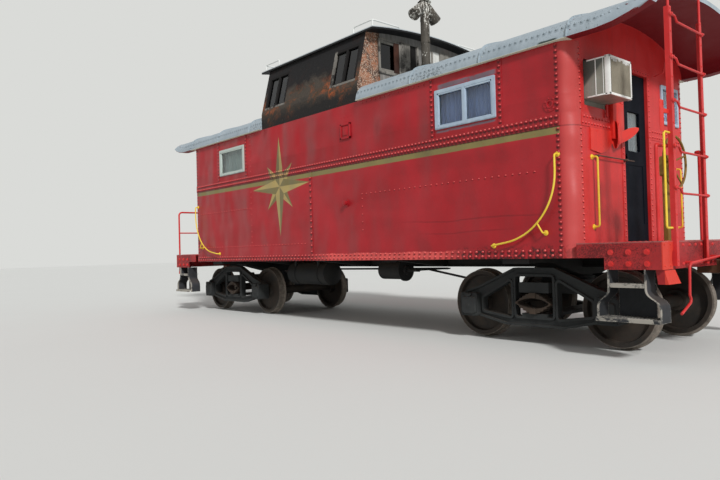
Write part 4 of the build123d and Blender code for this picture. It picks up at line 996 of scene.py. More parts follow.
def bent_path(points, bend):
    """A path of straight runs whose corners are rounded."""
    path = [points[0]]
    for before, corner, after in zip(points, points[1:], points[2:]):
        reach = min(bend, (corner - before).length * 0.5, (after - corner).length * 0.5)
        if reach <= 0:
            path.append(corner)
            continue
        start = corner + (before - corner).normalized() * reach
        stop = corner + (after - corner).normalized() * reach
        for t in (step / 6 for step in range(7)):
            path.append(start * (1 - t) ** 2 + corner * 2 * t * (1 - t) + stop * t**2)
    return path + [points[-1]]


def new_tree(name, *inputs):
    """An empty Geometry Nodes tree with named inputs, and its two ends."""
    tree = bpy.data.node_groups.new(name, "GeometryNodeTree")
    tree.interface.new_socket("Geometry", in_out="INPUT", socket_type="NodeSocketGeometry")
    for label, kind, default in (*inputs, ("Material", "NodeSocketMaterial", None)):
        socket = tree.interface.new_socket(label, in_out="INPUT", socket_type=kind)
        if default is not None:
            socket.default_value = default
    tree.interface.new_socket("Geometry", in_out="OUTPUT", socket_type="NodeSocketGeometry")
    return tree, tree.nodes.new("NodeGroupInput").outputs, tree.nodes.new("NodeGroupOutput").inputs


def end_tree(tree, given, made, shape):
    """Realize the instances and set the material at the end of a tree."""
    real = put(tree, "GeometryNodeRealizeInstances", {0: shape}).outputs[0]
    painted = put(tree, "GeometryNodeSetMaterial", {"Geometry": real, "Material": given["Material"]})
    wire(made[0], painted.outputs[0])
    return tree


def spaced_points(tree, given):
    """Points along the guide lines, about a pitch apart."""
    lines = put(tree, "GeometryNodeMeshToCurve", {0: given["Geometry"]}).outputs[0]
    spaced = put(tree, "GeometryNodeResampleCurve", {"Curve": lines, "Length": given["Pitch"]}, mode="LENGTH")
    return spaced.outputs[0]


def set_out(tree, points, shape, rotation):
    """One shape set at each of some points."""
    return put(tree, "GeometryNodeInstanceOnPoints",
               {"Points": points, "Instance": shape, "Rotation": rotation}).outputs[0]


def rows_tree(name, head_shape):
    """A tree that sets heads along guide lines, each standing on the line's facing direction."""
    tree, given, made = new_tree(name, ("Pitch", NUMBER, 0.1), ("Head Radius", NUMBER, 0.012),
                                 ("Head Height", NUMBER, 0.008))
    way = put(tree, "GeometryNodeInputNamedAttribute", {"Name": "facing"}, data_type="FLOAT_VECTOR")
    turned = put(tree, "FunctionNodeAlignRotationToVector", {"Vector": way.outputs[0]}, axis="Z").outputs[0]
    points = spaced_points(tree, given)
    return end_tree(tree, given, made, set_out(tree, points, head_shape(tree, given), turned))


def rivet_head(tree, given):
    """A low dome of a few dozen faces, half sunk in the plate."""
    ball = put(tree, "GeometryNodeMeshUVSphere", {"Segments": 8, "Rings": 4, "Radius": 1.0}).outputs[0]
    scale = put(tree, "ShaderNodeCombineXYZ", dict(enumerate((given["Head Radius"], given["Head Radius"],
                                                              given["Head Height"])))).outputs[0]
    return put(tree, "GeometryNodeTransform", {"Geometry": ball, "Scale": scale}).outputs[0]


def bolt_head(tree, given):
    """A six-sided nut on a round washer."""
    join = tree.nodes.new("GeometryNodeJoinGeometry")
    for sides, spread, rise in ((12, 1.35, 0.5), (6, 1.0, 2.0)):
        disc = put(tree, "GeometryNodeMeshCylinder", {
            "Vertices": sides, "Radius": times(given["Head Radius"], spread),
            "Depth": times(given["Head Height"], rise)})
        wire(join.inputs[0], disc.outputs[0])
    return join.outputs[0]


def seam_tree():
    """A tree that sweeps a flat strip along guide lines."""
    tree, given, made = new_tree("Roof seam", ("Width", NUMBER, 0.05), ("Thickness", NUMBER, 0.012))
    lines = put(tree, "GeometryNodeMeshToCurve", {0: given["Geometry"]}).outputs[0]
    section = put(tree, "GeometryNodeCurvePrimitiveQuadrilateral",
                  {"Width": given["Thickness"], "Height": given["Width"]}).outputs[0]
    strip = put(tree, "GeometryNodeCurveToMesh",
                {"Curve": lines, "Profile Curve": section, "Fill Caps": True}).outputs[0]
    return end_tree(tree, given, made, strip)


def slats_tree():
    """A tree that repeats one slat along a line."""
    vector = "NodeSocketVector"
    tree, given, made = new_tree("Slats", ("Count", "NodeSocketInt", 10), ("Start", vector, None),
                                 ("Step", vector, None), ("Slat", vector, None))
    values = {"Count": given["Count"], "Start Location": given["Start"], "Offset": given["Step"]}
    line = put(tree, "GeometryNodeMeshLine", values, mode="OFFSET")
    slat = put(tree, "GeometryNodeMeshCube", {"Size": given["Slat"]}).outputs[0]
    return end_tree(tree, given, made, set_out(tree, line.outputs[0], slat, (0, 0, 0)))


def lozenge_tree():
    """A tree that raises crossed lozenges over a plate."""
    tree, given, made = new_tree("Tread lozenges", ("Pitch", NUMBER, 0.06), ("Length", NUMBER, 0.04))
    bump = put(tree, "GeometryNodeMeshCone", {"Vertices": 4, "Radius Top": 0.25, "Radius Bottom": 0.5,
                                              "Depth": 1.0}).outputs[0]
    reach = put(tree, "ShaderNodeCombineXYZ", {0: given["Length"], 1: times(given["Length"], 0.4),
                                               2: LOZENGE_HEIGHT}).outputs[0]
    lozenge = put(tree, "GeometryNodeTransform", {"Geometry": bump, "Scale": reach}).outputs[0]
    odd = calc("MODULO", put(tree, "GeometryNodeInputIndex").outputs[0], 2.0)
    turn = calc("MULTIPLY_ADD", odd, math.pi / 2, math.pi / 4)
    turned = put(tree, "ShaderNodeCombineXYZ", {2: turn}).outputs[0]
    return end_tree(tree, given, made, set_out(tree, spaced_points(tree, given), lozenge, turned))


TREES = {}
TREE_MAKERS = {
    "rivets": lambda: rows_tree("Rivet rows", rivet_head),
    "bolts": lambda: rows_tree("Bolt rows", bolt_head),
    "seams": seam_tree,
    "slats": slats_tree,
    "lozenges": lozenge_tree,
}


def grown(kind, guide, values):
    """The plain mesh that a Geometry Nodes tree grows on a guide mesh. The piece sets its finish later."""
    if kind not in TREES:
        TREES[kind] = TREE_MAKERS[kind]()
    tree = TREES[kind]
    values = {key.replace("_", " "): value for key, value in values.items()}
    values["Material"] = FINISHES["end_red"]
    holder = placed(kind, guide)
    modifier = holder.modifiers.new("Grow", "NODES")
    modifier.node_group = tree
    for item in tree.interface.items_tree:
        if item.item_type == "SOCKET" and item.in_out == "INPUT" and item.name in values:
            modifier[item.identifier] = values[item.name]
    mesh = evaluated(holder)
    bpy.data.meshes.remove(guide)
    if not len(mesh.vertices):
        raise RuntimeError(f"{kind} grew no faces")
    return mesh


def guide_mesh(lines):
    """A mesh of guide lines: each is a list of points with the direction that each one faces."""
    points, edges, ways = [], [], []
    for line in lines:
        edges += [(len(points) + i, len(points) + i + 1) for i in range(len(line) - 1)]
        points += [point for point, _ in line]
        ways += [way for _, way in line]
    mesh = bpy.data.meshes.new("guide")
    mesh.from_pydata(points, edges, [])
    facing = mesh.attributes.new("facing", "FLOAT_VECTOR", "POINT")
    for item, way in zip(facing.data, ways):
        item.vector = way
    return mesh


def straight(start, stop, way):
    """A guide line between two points."""
    return [(start, way), (stop, way)]


def roof_arch():
    """Points across the main roof's outer face, from one eave to the other, with the way each one faces."""
    rise, run = ROOF_CROWN - EAVE_Z, ROOF_HALF - SHOULDER
    wide = (run**2 + rise**2 - SHOULDER**2) / (2 * (rise - SHOULDER))
    lean = math.atan2(run, wide - rise)
    arcs = [(run, EAVE_Z, SHOULDER, (math.pi / 2 - lean) * step / 8) for step in range(9)]
    arcs += [(0.0, ROOF_CROWN - wide, wide, math.pi / 2 - lean * (1 - step / 12)) for step in range(1, 13)]
    half = [(y + r * math.cos(a), z + r * math.sin(a), math.cos(a), math.sin(a)) for y, z, r, a in arcs]
    return half + [(-y, z, -out, up) for y, z, out, up in half[-2::-1]]


def roof_line(x):
    """A guide line across the roof."""
    return [((x, y, z), (0, out, up)) for y, z, out, up in roof_arch()]


def eave_at(x):
    """Height of the roof's lower edge, which sweeps up over the platforms."""
    over_platform = max(0.0, abs(x) - UPSWEEP_X) / (ROOF_END - UPSWEEP_X)
    return EAVE_Z + 0.140 * over_platform**2


def eave_y(z):
    """Distance of the roof's outer face from the centre line at a height just over the eave."""
    return ROOF_HALF - SHOULDER + math.sqrt(SHOULDER**2 - (z - EAVE_Z) ** 2)


# Operators, one for each group of pieces


class CABOOSE_OT_paint(bpy.types.Operator):
    """Mix the finishes and paint every CAD piece"""

    bl_idname = "caboose.paint"
    bl_label = "Paint the pieces"

    def execute(self, context):
        mix_all_finishes()
        for name, node in nodes.items():
            finish = next((finish for start, finish in NODE_FINISHES if name.startswith(start)), None)
            if finish is None:
                raise RuntimeError(f"{name} has no finish")
            node.data.materials.clear()
            node.data.materials.append(FINISHES[finish])
        return {"FINISHED"}


def side_rows(side):
    """Rivet rows of one side: belt and sill zigzags, corners, battens and the fine rows of the panels."""
    s = sizes()
    plate_y, wall_y = side * (WALL_Y + PLATE), side * WALL_Y
    flat = WALL_X - CORNER
    belt = (s.belt_low + s.belt_high) / 2

    def across(z, start, stop, y=plate_y):
        return straight((start, y, z), (stop, y, z), (0, side, 0))

    def upright(x, low, high, y=plate_y):
        return straight((x, y, low), (x, y, high), (0, side, 0))

    close_rows = [across(belt - BELT_ROW, -flat, flat),
                  across(belt + BELT_ROW, s.rivet_pitch / 2 - flat, flat)]
    corner_rows = [upright(x, s.belt_high + 0.03, EAVE_Z - 0.02)
                   for _, _, *battens in SIDE_WINDOWS for x in battens]
    corner_rows += [upright(end * (flat + 0.012), low, high, wall_y) for end in (-1, 1) for low, high in (
        (SILL_Z + 0.13, s.belt_low - 0.03), (s.belt_high + 0.04, EAVE_Z - 0.03))]
    wide_rows = [across(SILL_Z + 0.028, -flat, flat), across(SILL_Z + 0.080, s.wide_pitch / 2 - flat, flat),
                 upright(s.seam_x, SILL_Z + 0.14, s.belt_low - 0.10)]
    fine_rows = [across(z, start, stop, wall_y) for z, start, stop in (
        (1.965, 0.95, 3.80), (1.965, -3.95, -2.1), (1.290, -3.95, -0.45), (EAVE_Z - 0.040, 1.0, 2.2),
        (EAVE_Z - 0.040, -2.1, -1.7))]
    fine_rows += [upright(x, low, high, wall_y) for x, low, high in (
        (0.95, 1.45, 1.90), (-2.05, 1.35, 2.25), (-2.05, 2.62, 3.2))]
    return close_rows, wide_rows, fine_rows, corner_rows


def end_rows():
    """Rivet rows of one end wall: belt, corners and door casing."""
    s = sizes()
    belt = (s.belt_low + s.belt_high) / 2
    casing, casing_top = 0.345, 3.208
    corner = WALL_Y - CORNER

    def line(y0, z0, y1, z1, x=WALL_X + PLATE):
        return straight((x, y0, z0), (x, y1, z1), (1, 0, 0))

    close_rows, wide_rows = [], []
    for turn in (-1, 1):
        for lift, shift in ((-BELT_ROW, 0.0), (BELT_ROW, s.rivet_pitch / 2)):
            close_rows.append(line(turn * (corner - shift - 0.02), belt + lift, turn * 0.42, belt + lift))
        for low, high in ((1.22, 2.39), (2.60, 3.24)):
            close_rows.append(line(turn * (corner + 0.010), low, turn * (corner + 0.010), high, WALL_X))
        wide_rows.append(line(turn * casing, 1.24, turn * casing, casing_top))
    wide_rows.append(line(0.07 - casing, casing_top, casing - 0.07, casing_top))
    return close_rows, wide_rows


class CABOOSE_OT_rivets(bpy.types.Operator):
    """Set the rivets of the sides and ends"""

    bl_idname = "caboose.rivets"
    bl_label = "Rivets"

    def execute(self, context):
        s = sizes()
        for name, side in SIDES.items():
            metal = Metalwork()
            close_rows, wide_rows, fine_rows, corner_rows = side_rows(side)
            metal.heads(close_rows, s.rivet_pitch, s.rivet_head)
            metal.heads(wide_rows, s.wide_pitch, s.rivet_head)
            metal.heads(fine_rows, s.wide_pitch, s.small_head)
            metal.heads(corner_rows, s.rivet_pitch, s.corner_head)
            metal.finish(f"rivets_{name}", "side_rivets", "red_side", angle=60)
        for name, end in ENDS.items():
            metal = Metalwork(end)
            close_rows, wide_rows = end_rows()
            metal.heads(close_rows, s.rivet_pitch, s.corner_head)
            metal.heads(wide_rows, s.rivet_pitch, s.small_head)
            metal.finish(f"rivets_end_{name}", "end_rivets", "red_end", angle=60)
        return {"FINISHED"}


class CABOOSE_OT_roof_trim(bpy.types.Operator):
    """Lay the roof's seams, eave rolls and rivets"""

    bl_idname = "caboose.roof_trim"
    bl_label = "Roof trim"

    def execute(self, context):
        for name, end in ENDS.items():
            start = CUPOLA_HIGH_X if end > 0 else -CUPOLA_LOW_X
            seams = [end * x for x in (2.00, 3.13, 4.26) if x > start + 0.1]
            metal = Metalwork()
            metal.grow("seams", [roof_line(x) for x in seams], Width=0.045, Thickness=0.007)
            metal.heads([roof_line(x + shift) for x in seams for shift in (-0.034, 0.034)], 0.075, 0.016)
            runs = ((start + 0.03, UPSWEEP_X, 1), (UPSWEEP_X + ROOF_PITCH, ROOF_END - 0.03, 8))
            for side in SIDES.values():
                path = []
                for x in (start + (ROOF_END - start - 0.004) * step / 24 for step in range(25)):
                    low = eave_at(x) + 0.006
                    path.append((end * x, side * (eave_y(low) + 0.001), low))
                metal.bar(path, 0.009)
                rows = []
                for first, last, steps in runs:
                    rows.append([])
                    for x in (first + (last - first) * step / steps for step in range(steps + 1)):
                        z = eave_at(x) + ROOF_ROW_UP
                        y = eave_y(z)
                        way = (0, side * (y - ROOF_HALF + SHOULDER), z - EAVE_Z)
                        rows[-1].append(((end * x, side * y, z), way))
                metal.heads(rows, ROOF_PITCH, 0.028)
            metal.finish(f"roof_trim_{name}", "roof_silver", "roof_silver", angle=50)
        return {"FINISHED"}


class CABOOSE_OT_side_fittings(bpy.types.Operator):
    """Add the hatch plate, the capped filler and the round flanges of the sides"""

    bl_idname = "caboose.side_fittings"
    bl_label = "Side fittings"

    def execute(self, context):
        y = -WALL_Y
        x, z, half, rim = 0.63, 2.92, 0.115, 0.014
        metal = Metalwork()
        metal.block((x - half, y - 0.010, z - half), (x + half, y, z + half), 0.003)
        for edge in (rim - half, half - rim):
            metal.block((x + edge - rim, y - 0.024, z - half), (x + edge + rim, y, z + half), 0.003)
            metal.block((x - half, y - 0.024, z + edge - rim), (x + half, y, z + edge + rim), 0.003)
        metal.block((x - 0.055, y - 0.020, z - 0.06), (x + 0.045, y, z + 0.03), 0.004)
        metal.heads([straight((x - 0.1, y, z + 0.21), (x + 0.12, y, z + 0.21), (0, -1, 0))], 0.07, 0.016)
        metal.turned(FILLER, (0, -1, 0), [(0.0, 0.055), (0.012, 0.055), (0.014, 0.032), (0.05, 0.030),
                                          (0.052, 0.042), (0.064, 0.040), (0.066, 0.018), (0.072, 0.016)])
        metal.finish("hatch_plate", "side_red", "red_side")
        for name, side in SIDES.items():
            metal = Metalwork()
            centre = Vector((4.015, side * WALL_Y, 2.665))
            metal.turned(centre, (0, side, 0), [(0.0, 0.085), (0.010, 0.082), (0.010, 0.046), (0.018, 0.044),
                                                (0.018, 0.030), (0.002, 0.026)], 20)
            turns = [2 * math.pi * step / 8 for step in range(9)]
            metal.heads([[(centre + Vector((0.064 * math.cos(turn), side * 0.010, 0.064 * math.sin(turn))),
                           (0, side, 0)) for turn in turns]], 0.0490, 0.026)
            metal.finish(f"flange_{name}", "side_red", "red_side")
        return {"FINISHED"}


def scoop(metal):
    """A sheet scoop beside the door: an upright trough open to the side, and a wing beyond it."""
    trough = []
    for z, swell in ((2.225, 0.25), (2.250, 0.62), (2.285, 0.86), (2.330, 1.0), (2.440, 1.0), (2.490, 0.84),
                     (2.518, 0.55), (2.530, 0.2)):
        turns = [math.radians(-12 + 204 * step / 12) for step in range(13)]
        trough.append([(4.312 + 0.040 * swell * math.cos(turn), -0.610 + 0.085 * swell * math.sin(turn), z)
                       for turn in turns])
    outline = ((0.00, 2.500, 2.262), (0.10, 2.425, 2.275), (0.22, 2.410, 2.290), (0.38, 2.436, 2.310),
               (0.56, 2.462, 2.338), (0.74, 2.476, 2.372), (0.90, 2.483, 2.415), (1.00, 2.478, 2.455))
    wing = [[(4.352 + 0.045 * along**2, -0.610 + 0.385 * along, low + (high - low) * level / 6)
             for level in range(7)] for along, high, low in outline]
    for grid in (trough, wing):
        metal.skin([[metal.bm.verts.new(metal.at(point)) for point in row] for row in grid])


class CABOOSE_OT_end_fittings(bpy.types.Operator):
    """Add the plates, the scoop, the latch rod and the small pipes of the end walls"""

    bl_idname = "caboose.end_fittings"
    bl_label = "End fittings"

    def execute(self, context):
        x, plate = WALL_X, 0.014
        for name, end in ENDS.items():
            metal = Metalwork(end)
            metal.prism([(x, y, z) for y, z in END_PANEL], (plate, 0, 0))
            metal.heads([straight((x + plate, -1.06, 2.385), (x + plate, -0.65, 2.385), (1, 0, 0))],
                        0.10, 0.014)
            metal.finish(f"end_panel_{name}", "bright_red", "red_end")
            metal = Metalwork(end)
            metal.block((x, -0.640, 2.330), (x + 0.046, -0.400, 2.740), 0.004)
            metal.finish(f"end_board_{name}", "bright_red", "red_end")
            metal = Metalwork(end)
            scoop(metal)
            metal.finish_sheet(f"marker_scoop_{name}", "bright_red", 0.006)
            metal = Metalwork(end)
            metal.bar([(x + 0.045, -1.055, 2.113), (x + 0.045, -0.180, 2.108)], 0.007)
            for y in (-0.345, -1.000):
                metal.turned((x, y, 2.110), (1, 0, 0), [(0, 0.016), (0.052, 0.014), (0.056, 0.010)])
            metal.finish(f"latch_rod_{name}", "rail_iron", "red_end")
            metal = Metalwork(end)
            metal.bar([(x + 0.02, -0.735, 2.556), (x + 0.02, -0.735, 2.700)], 0.011)
            metal.bar([(x, -0.735, 2.60), (x + 0.02, -0.735, 2.60)], 0.008)
            metal.bar([(x + 0.03, 0.45, 3.20), (x + 0.15, 0.45, 3.22), (x + 0.16, 0.45, 3.34)], 0.008, 0.03)
            metal.finish(f"end_pipes_{name}", "end_red", "red_end")
        return {"FINISHED"}


CURTAINS = (  # name, low corner, high corner, body, cloth
    ("curtain_near_a", (2.36, -1.335, 2.60), (3.345, -1.335, 3.16), "car", "curtain_blue"),
    ("curtain_near_b", (-3.17, -1.335, 2.60), (-2.22, -1.335, 3.16), "car", "curtain_green"),
    ("curtain_far_a", (2.36, 1.335, 2.60), (3.345, 1.335, 3.16), "car", "curtain_blue"),
    ("curtain_far_b", (-3.17, 1.335, 2.60), (-2.22, 1.335, 3.16), "car", "curtain_green"),
    ("curtain_end_a", (4.160, 0.65, 2.60), (4.160, 1.21, 3.16), "car", "curtain_blue"),
    ("curtain_end_b1", (-4.160, -1.21, 2.60), (-4.160, -0.65, 3.16), "car", "curtain_blue"),
    ("curtain_end_b2", (-4.160, 0.65, 2.60), (-4.160, 1.21, 3.16), "car", "curtain_blue"),
    ("curtain_door_a", (4.172, -0.20, 2.20), (4.172, 0.22, 2.75), "door_leaf_a", "curtain_grey"),
    ("curtain_door_b", (-4.172, -0.22, 2.20), (-4.172, 0.20, 2.75), "door_leaf_b", "curtain_grey"),
)


def hang_curtain(name, low, high, body, finish, index):
    """A curtain in soft pleats, gathered on its rod."""
    low, high = Vector(low), Vector(high)
    along, across = Vector((1, 0, 0)), Vector((0, 1, 0))
    if low.x == high.x:
        along, across = across, along
    width, drop = (high - low).dot(along), high.z - low.z
    folds = max(4, round(width / sizes().pleat))
    columns, rows = folds * 8, 12
    depth, stand = (0.012, 0.026) if body == "car" else (0.007, 0.020)
    grid = []
    for t in (row / rows for row in range(rows + 1)):
        grid.append([])
        for u in (column / columns for column in range(columns + 1)):
            wave = math.sin(2 * math.pi * folds * u + 0.9 * math.sin(3.1 * u * folds + index) + 0.25 * t)
            swell = depth * (0.55 + 0.45 * t) * (0.8 + 0.2 * math.sin(index + 5 * u))
            place = low + along * (width * u) + across * (wave * swell)
            place.z = high.z - drop * t
            grid[-1].append(place)
    cloth = Metalwork()
    cloth.skin([[cloth.bm.verts.new(place) for place in line] for line in grid])
    piece = ride_piece(name, closed_sheet(cloth.bm, name, 0.001), finish, body)
    outward = across * (stand if (low + high).dot(across) > 0 else -stand)
    rod_low = Vector((low.x, low.y, high.z)) - along * 0.02
    rod_high = high + along * 0.02
    metal = Metalwork()
    metal.bar([rod_low, rod_high], 0.006)
    for place in (rod_low + along * 0.006, rod_high - along * 0.006):
        metal.bar([place, place + outward], 0.005, 0, 8)
    rod = metal.finish(name.replace("curtain", "rod"), "rail_iron", None, body)


class CABOOSE_OT_curtains(bpy.types.Operator):
    """Hang the curtains behind the cabin's windows and door panes"""

    bl_idname = "caboose.curtains"
    bl_label = "Curtains"

    def execute(self, context):
        for index, curtain in enumerate(CURTAINS):
            hang_curtain(*curtain, index)
        return {"FINISHED"}


class CABOOSE_OT_conditioner(bpy.types.Operator):
    """Fit the air conditioner's rims, joint and grille"""

    bl_idname = "caboose.conditioner"
    bl_label = "Air conditioner"

    def execute(self, context):
        y0, y1, z0, z1 = -1.170, -0.690, 2.705, 3.115
        x, rim, lap = AC_HIGH.x, 0.022, 0.003
        metal = Metalwork()
        grow = 0.001
        for low_y, high_y, low_z, high_z in ((y0, y0 + rim, z0, z1), (y1 - rim, y1, z0, z1),
                                             (y0, y1, z0, z0 + rim), (y0, y1, z1 - rim, z1)):
            metal.block((x - 0.010, low_y - grow, low_z - grow),
                        (x + 0.004, high_y + grow, high_z + grow), 0.003)
        flakes = ((0.04, 0.020), (0.085, 0.032), (0.12, 0.026), (0.20, 0.018), (0.29, 0.024), (0.34, 0.034),
                  (0.39, 0.022))
        for y, drop in ((y0 + along, drop) for along, drop in flakes):
            metal.block((x - 0.008, y, z1 - rim - drop), (x + 0.001, y + 0.05, z1 - rim + 0.002), 0.002)
        folds = ((x - 0.050, x - 0.004, z0 - 0.002, z1 + 0.002), (4.30, x - 0.03, z0 + 0.004, z0 + 0.018),
                 (4.30, x - 0.03, z1 - 0.018, z1 - 0.004), (4.392, 4.402, z0 + 0.01, z1 - 0.01),
                 (4.478, 4.484, z0 + 0.01, z1 - 0.01))
        for y in (y0, y1):
            for x0, x1, low, high in folds:
                metal.block((x0, y - lap, low), (x1, y + lap, high), 0.001)
        metal.finish("conditioner_rim", "case_rim", "conditioner_white")
        metal = Metalwork()
        metal.block((x - 0.014, y0 + rim, z0 + rim), (x - 0.001, y0 + rim + 0.016, z1 - rim), 0.002)
        metal.finish("conditioner_joint", "frame_black", "conditioner_white")
        metal = Metalwork()
        metal.block((x - 0.0050, y0 + rim, z0 + rim), (x - 0.0035, y1 - rim, z1 - rim))
        count = 34
        metal.slats(count, (x - 0.002, y0 + 0.045, (z0 + z1) / 2), (0, (y1 - y0 - 0.075) / (count - 1), 0),
                    (0.006, 0.004, z1 - z0 - 0.05))
        metal.finish("conditioner_grille", "grille_beige", "conditioner_white")
        return {"FINISHED"}


class CABOOSE_OT_platform_trim(bpy.types.Operator):
    """Add the platforms' bolts, tread plates, ladder bolts and lamp plates"""

    bl_idname = "caboose.platform_trim"
    bl_label = "Platform trim"

    def execute(self, context):
        s = sizes()
        x, out = PLATFORM_X, (1, 0, 0)
        for name, end in ENDS.items():
            metal = Metalwork(end)
            for side in SIDES.values():
                y = side * WALL_Y
                metal.heads([straight((4.630, y, z), (4.990, y, z), (0, side, 0)) for z in (1.073, 0.959)],
                            0.1705, s.bolt_head, "bolts", 0.018)
            metal.heads([straight((x, y0, z), (x, y1, z), out) for z in (1.130, 0.945)
                         for y0, y1 in ((-1.10, -0.20), (0.20, 1.10))], 0.142, s.rivet_head)
            metal.finish(f"platform_bolts_{name}", "end_red", "red_end")
            metal = Metalwork(end)
            for side in SIDES.values():
                metal.prism([(x, side * y, z) for y, z in SILL_CAP], (CAP_T, 0, 0))
            metal.heads([straight((x + CAP_T, y, 0.940), (x + CAP_T, y, 1.140), out)
                         for y in (-1.395, -1.270, 1.270, 1.395)], 0.195, s.small_head)
            metal.finish(f"sill_caps_{name}", "platform_red", "red_end")
            metal = Metalwork(end)
            first, last, y, count = WALL_X + 0.07, x - 0.12, WALL_Y - 0.08, 13
            rows = [first + row * (last - first) / (count - 1) for row in range(count)]
            metal.grow("lozenges", [straight((row, -y * end, DECK_Z), (row, y * end, DECK_Z), (0, 0, 1))
                                    for row in rows], Pitch=s.tread_pitch, Length=0.040)
            metal.finish(f"deck_tread_{name}", "end_red", "red_end")
            metal = Metalwork(end)
            metal.heads([straight((STILE_X, y, 0.98), (STILE_X, y, 3.40), out) for y in (-1.185, -0.455)],
                        0.205, 0.022)
            for z in RUNG_Z:
                for y, up in ((-1.195, RUNG_DROP), (-0.445, 0.0)):
                    metal.turned((STILE_X, y, z + up), out, [(0.0, 0.021), (0.016, 0.020), (0.022, 0.012),
                                                             (0.030, 0.011)], 12)
            metal.finish(f"ladder_bolts_{name}", "end_red", "red_end")
            metal = Metalwork(end)
            metal.block((GRAB_X + 0.001, -1.411, 2.200), (GRAB_X + 0.007, -1.327, 2.500), 0.002)
            metal.block((GRAB_X - 0.010, -1.340, 2.385), (GRAB_X + 0.004, -1.190, 2.425), 0.003)
            metal.heads([straight((GRAB_X + 0.007, -1.400, 2.225), (GRAB_X + 0.007, -1.400, 2.475), out)],
                        0.062, 0.013)
            metal.finish(f"lamp_plate_{name}", "bright_red", "red_end")
        return {"FINISHED"}


class CABOOSE_OT_step_treads(bpy.types.Operator):
    """Lay open gratings on the steps"""

    bl_idname = "caboose.step_treads"
    bl_label = "Step treads"

    def execute(self, context):
        for name, end in ENDS.items():
            metal = Metalwork(end)
            for side in SIDES.values():
                for x0, x1, z, y0, y1 in TREADS:
                    count = round((x1 - x0) / 0.034)
                    metal.slats(count, (x0 + 0.02, side * (y0 + y1) / 2, z + 0.003),
                                ((x1 - x0 - 0.04) / (count - 1), 0, 0), (0.007, y1 - y0 - 0.02, 0.010))
                    metal.block((x0, side * y1, z - 0.002), (x1, side * (y1 - 0.012), z + 0.007), 0.002)
            metal.finish(f"step_gratings_{name}", "step_iron", "step_dark")
        return {"FINISHED"}


def wide_bend(before, corner, after, radius, steps=14):
    """Points of an arc of a given radius that rounds a corner."""
    first, last = (before - corner).normalized(), (after - corner).normalized()
    half = first.angle(last) / 2
    centre = corner + (first + last).normalized() * (radius / math.sin(half))
    start, stop = (corner + way * (radius / math.tan(half)) - centre for way in (first, last))
    axis, turn = start.cross(stop), start.angle(stop)
    return [centre + Matrix.Rotation(turn * step / steps, 3, axis) @ start for step in range(steps + 1)]


class CABOOSE_OT_grab_irons(bpy.types.Operator):
    """Bend the grab irons and put a bolted lug at each of their feet"""

    bl_idname = "caboose.grab_irons"
    bl_label = "Grab irons"

    def execute(self, context):
        metal = Metalwork()
        lug = [(0.0, 0.030), (0.006, 0.029), (0.009, 0.020), (0.022, 0.017)]
        for end in ENDS.values():
            metal.end = end
            for side in SIDES.values():
                wall, out = side * WALL_Y, side * (WALL_Y + GRAB_STAND)
                top, knee, foot = (Vector((x, out, z)) for x, z in SIDE_GRAB)
                swept = wide_bend(top, knee, foot, SIDE_GRAB_BEND)
                metal.bar([(top.x, wall, top.z), top, *swept, foot, (foot.x, wall, foot.z)],
                          GRAB_R, GRAB_BEND)
                (x0, z0), (x1, z1) = SIDE_STAY
                metal.bar([(x0, out, z0), (x1, out, z1), (x1, wall, z1)], GRAB_R - 0.002, 0.018)
                for x, z in (SIDE_GRAB[0], SIDE_GRAB[2], SIDE_STAY[1]):
                    metal.turned((x, wall, z), (0, side, 0), lug, 12)
                (low, high), y, away = END_GRAB_Z, side * END_GRAB_Y, WALL_X + GRAB_STAND
                metal.bar([(WALL_X, y, low), (away, y, low), (away, y, high), (WALL_X, y, high)],
                          GRAB_R, GRAB_BEND)
                for z in END_GRAB_Z:
                    metal.turned((WALL_X, y, z), (1, 0, 0), lug, 12)
            (inner, outer), (low, high) = CORNER_GRAB_Y, CORNER_GRAB_Z
            metal.bar([(GRAB_X, y, z) for y, z in ((inner, low), (outer, low), (outer, high), (inner, high))],
                      GRAB_R, GRAB_BEND)
        piece = metal.finish("grab_bars", "grab_yellow", "grab_yellow")
        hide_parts("grab_irons")
        return {"FINISHED"}


class CABOOSE_OT_sash_beads(bpy.types.Operator):
    """Broaden the frames of the side windows with their inner beads"""

    bl_idname = "caboose.sash_beads"
    bl_label = "Sash beads"

    def execute(self, context):
        bead, stand, lap = 0.018, 0.014, 0.002
        bottom, top = WINDOW_LOW + SASH, WINDOW_HIGH - SASH
        for name, side in SIDES.items():
            metal = Metalwork()
            near, away = side * (WALL_Y - 0.012), side * (WALL_Y + stand)
            for low, high, *_ in SIDE_WINDOWS:
                left, right, middle = low + SASH, high - SASH, (low + high) / 2
                posts = [(left, left + bead), (right - bead, right)]
                if high > 0:
                    posts.append((middle - SASH / 2 - 0.006, middle + SASH / 2 + 0.006))
                bars = [(x0, x1, bottom, top) for x0, x1 in posts]
                bars += [(left, right, bottom, bottom + bead * 0.5), (left, right, top - bead * 1.1, top)]
                for x0, x1, z0, z1 in bars:
                    metal.block((x0 - lap, near, z0 - lap), (x1 + lap, away, z1 + lap), 0.003)
            metal.finish(f"sash_beads_{name}", "sash_pale", "frame_blue_white")
        return {"FINISHED"}


class CABOOSE_OT_jack_trim(bpy.types.Operator):
    """Band the smoke jack"""

    bl_idname = "caboose.jack_trim"
    bl_label = "Smoke jack trim"

    def execute(self, context):
        x, y, r = 1.600, -0.720, 0.064
        metal = Metalwork()
        for z in (3.78, 4.10, 4.42):
            metal.turned((x, y, z), (0, 0, 1), [(0, r - 0.002), (0, r + 0.004), (0.028, r + 0.004),
                                                (0.028, r - 0.002)], 24)
            metal.block((x + r - 0.004, y - 0.010, z), (x + r + 0.020, y + 0.010, z + 0.028), 0.002)
        metal.finish("jack_bands", "jack_grey", "jack_grey")
        return {"FINISHED"}


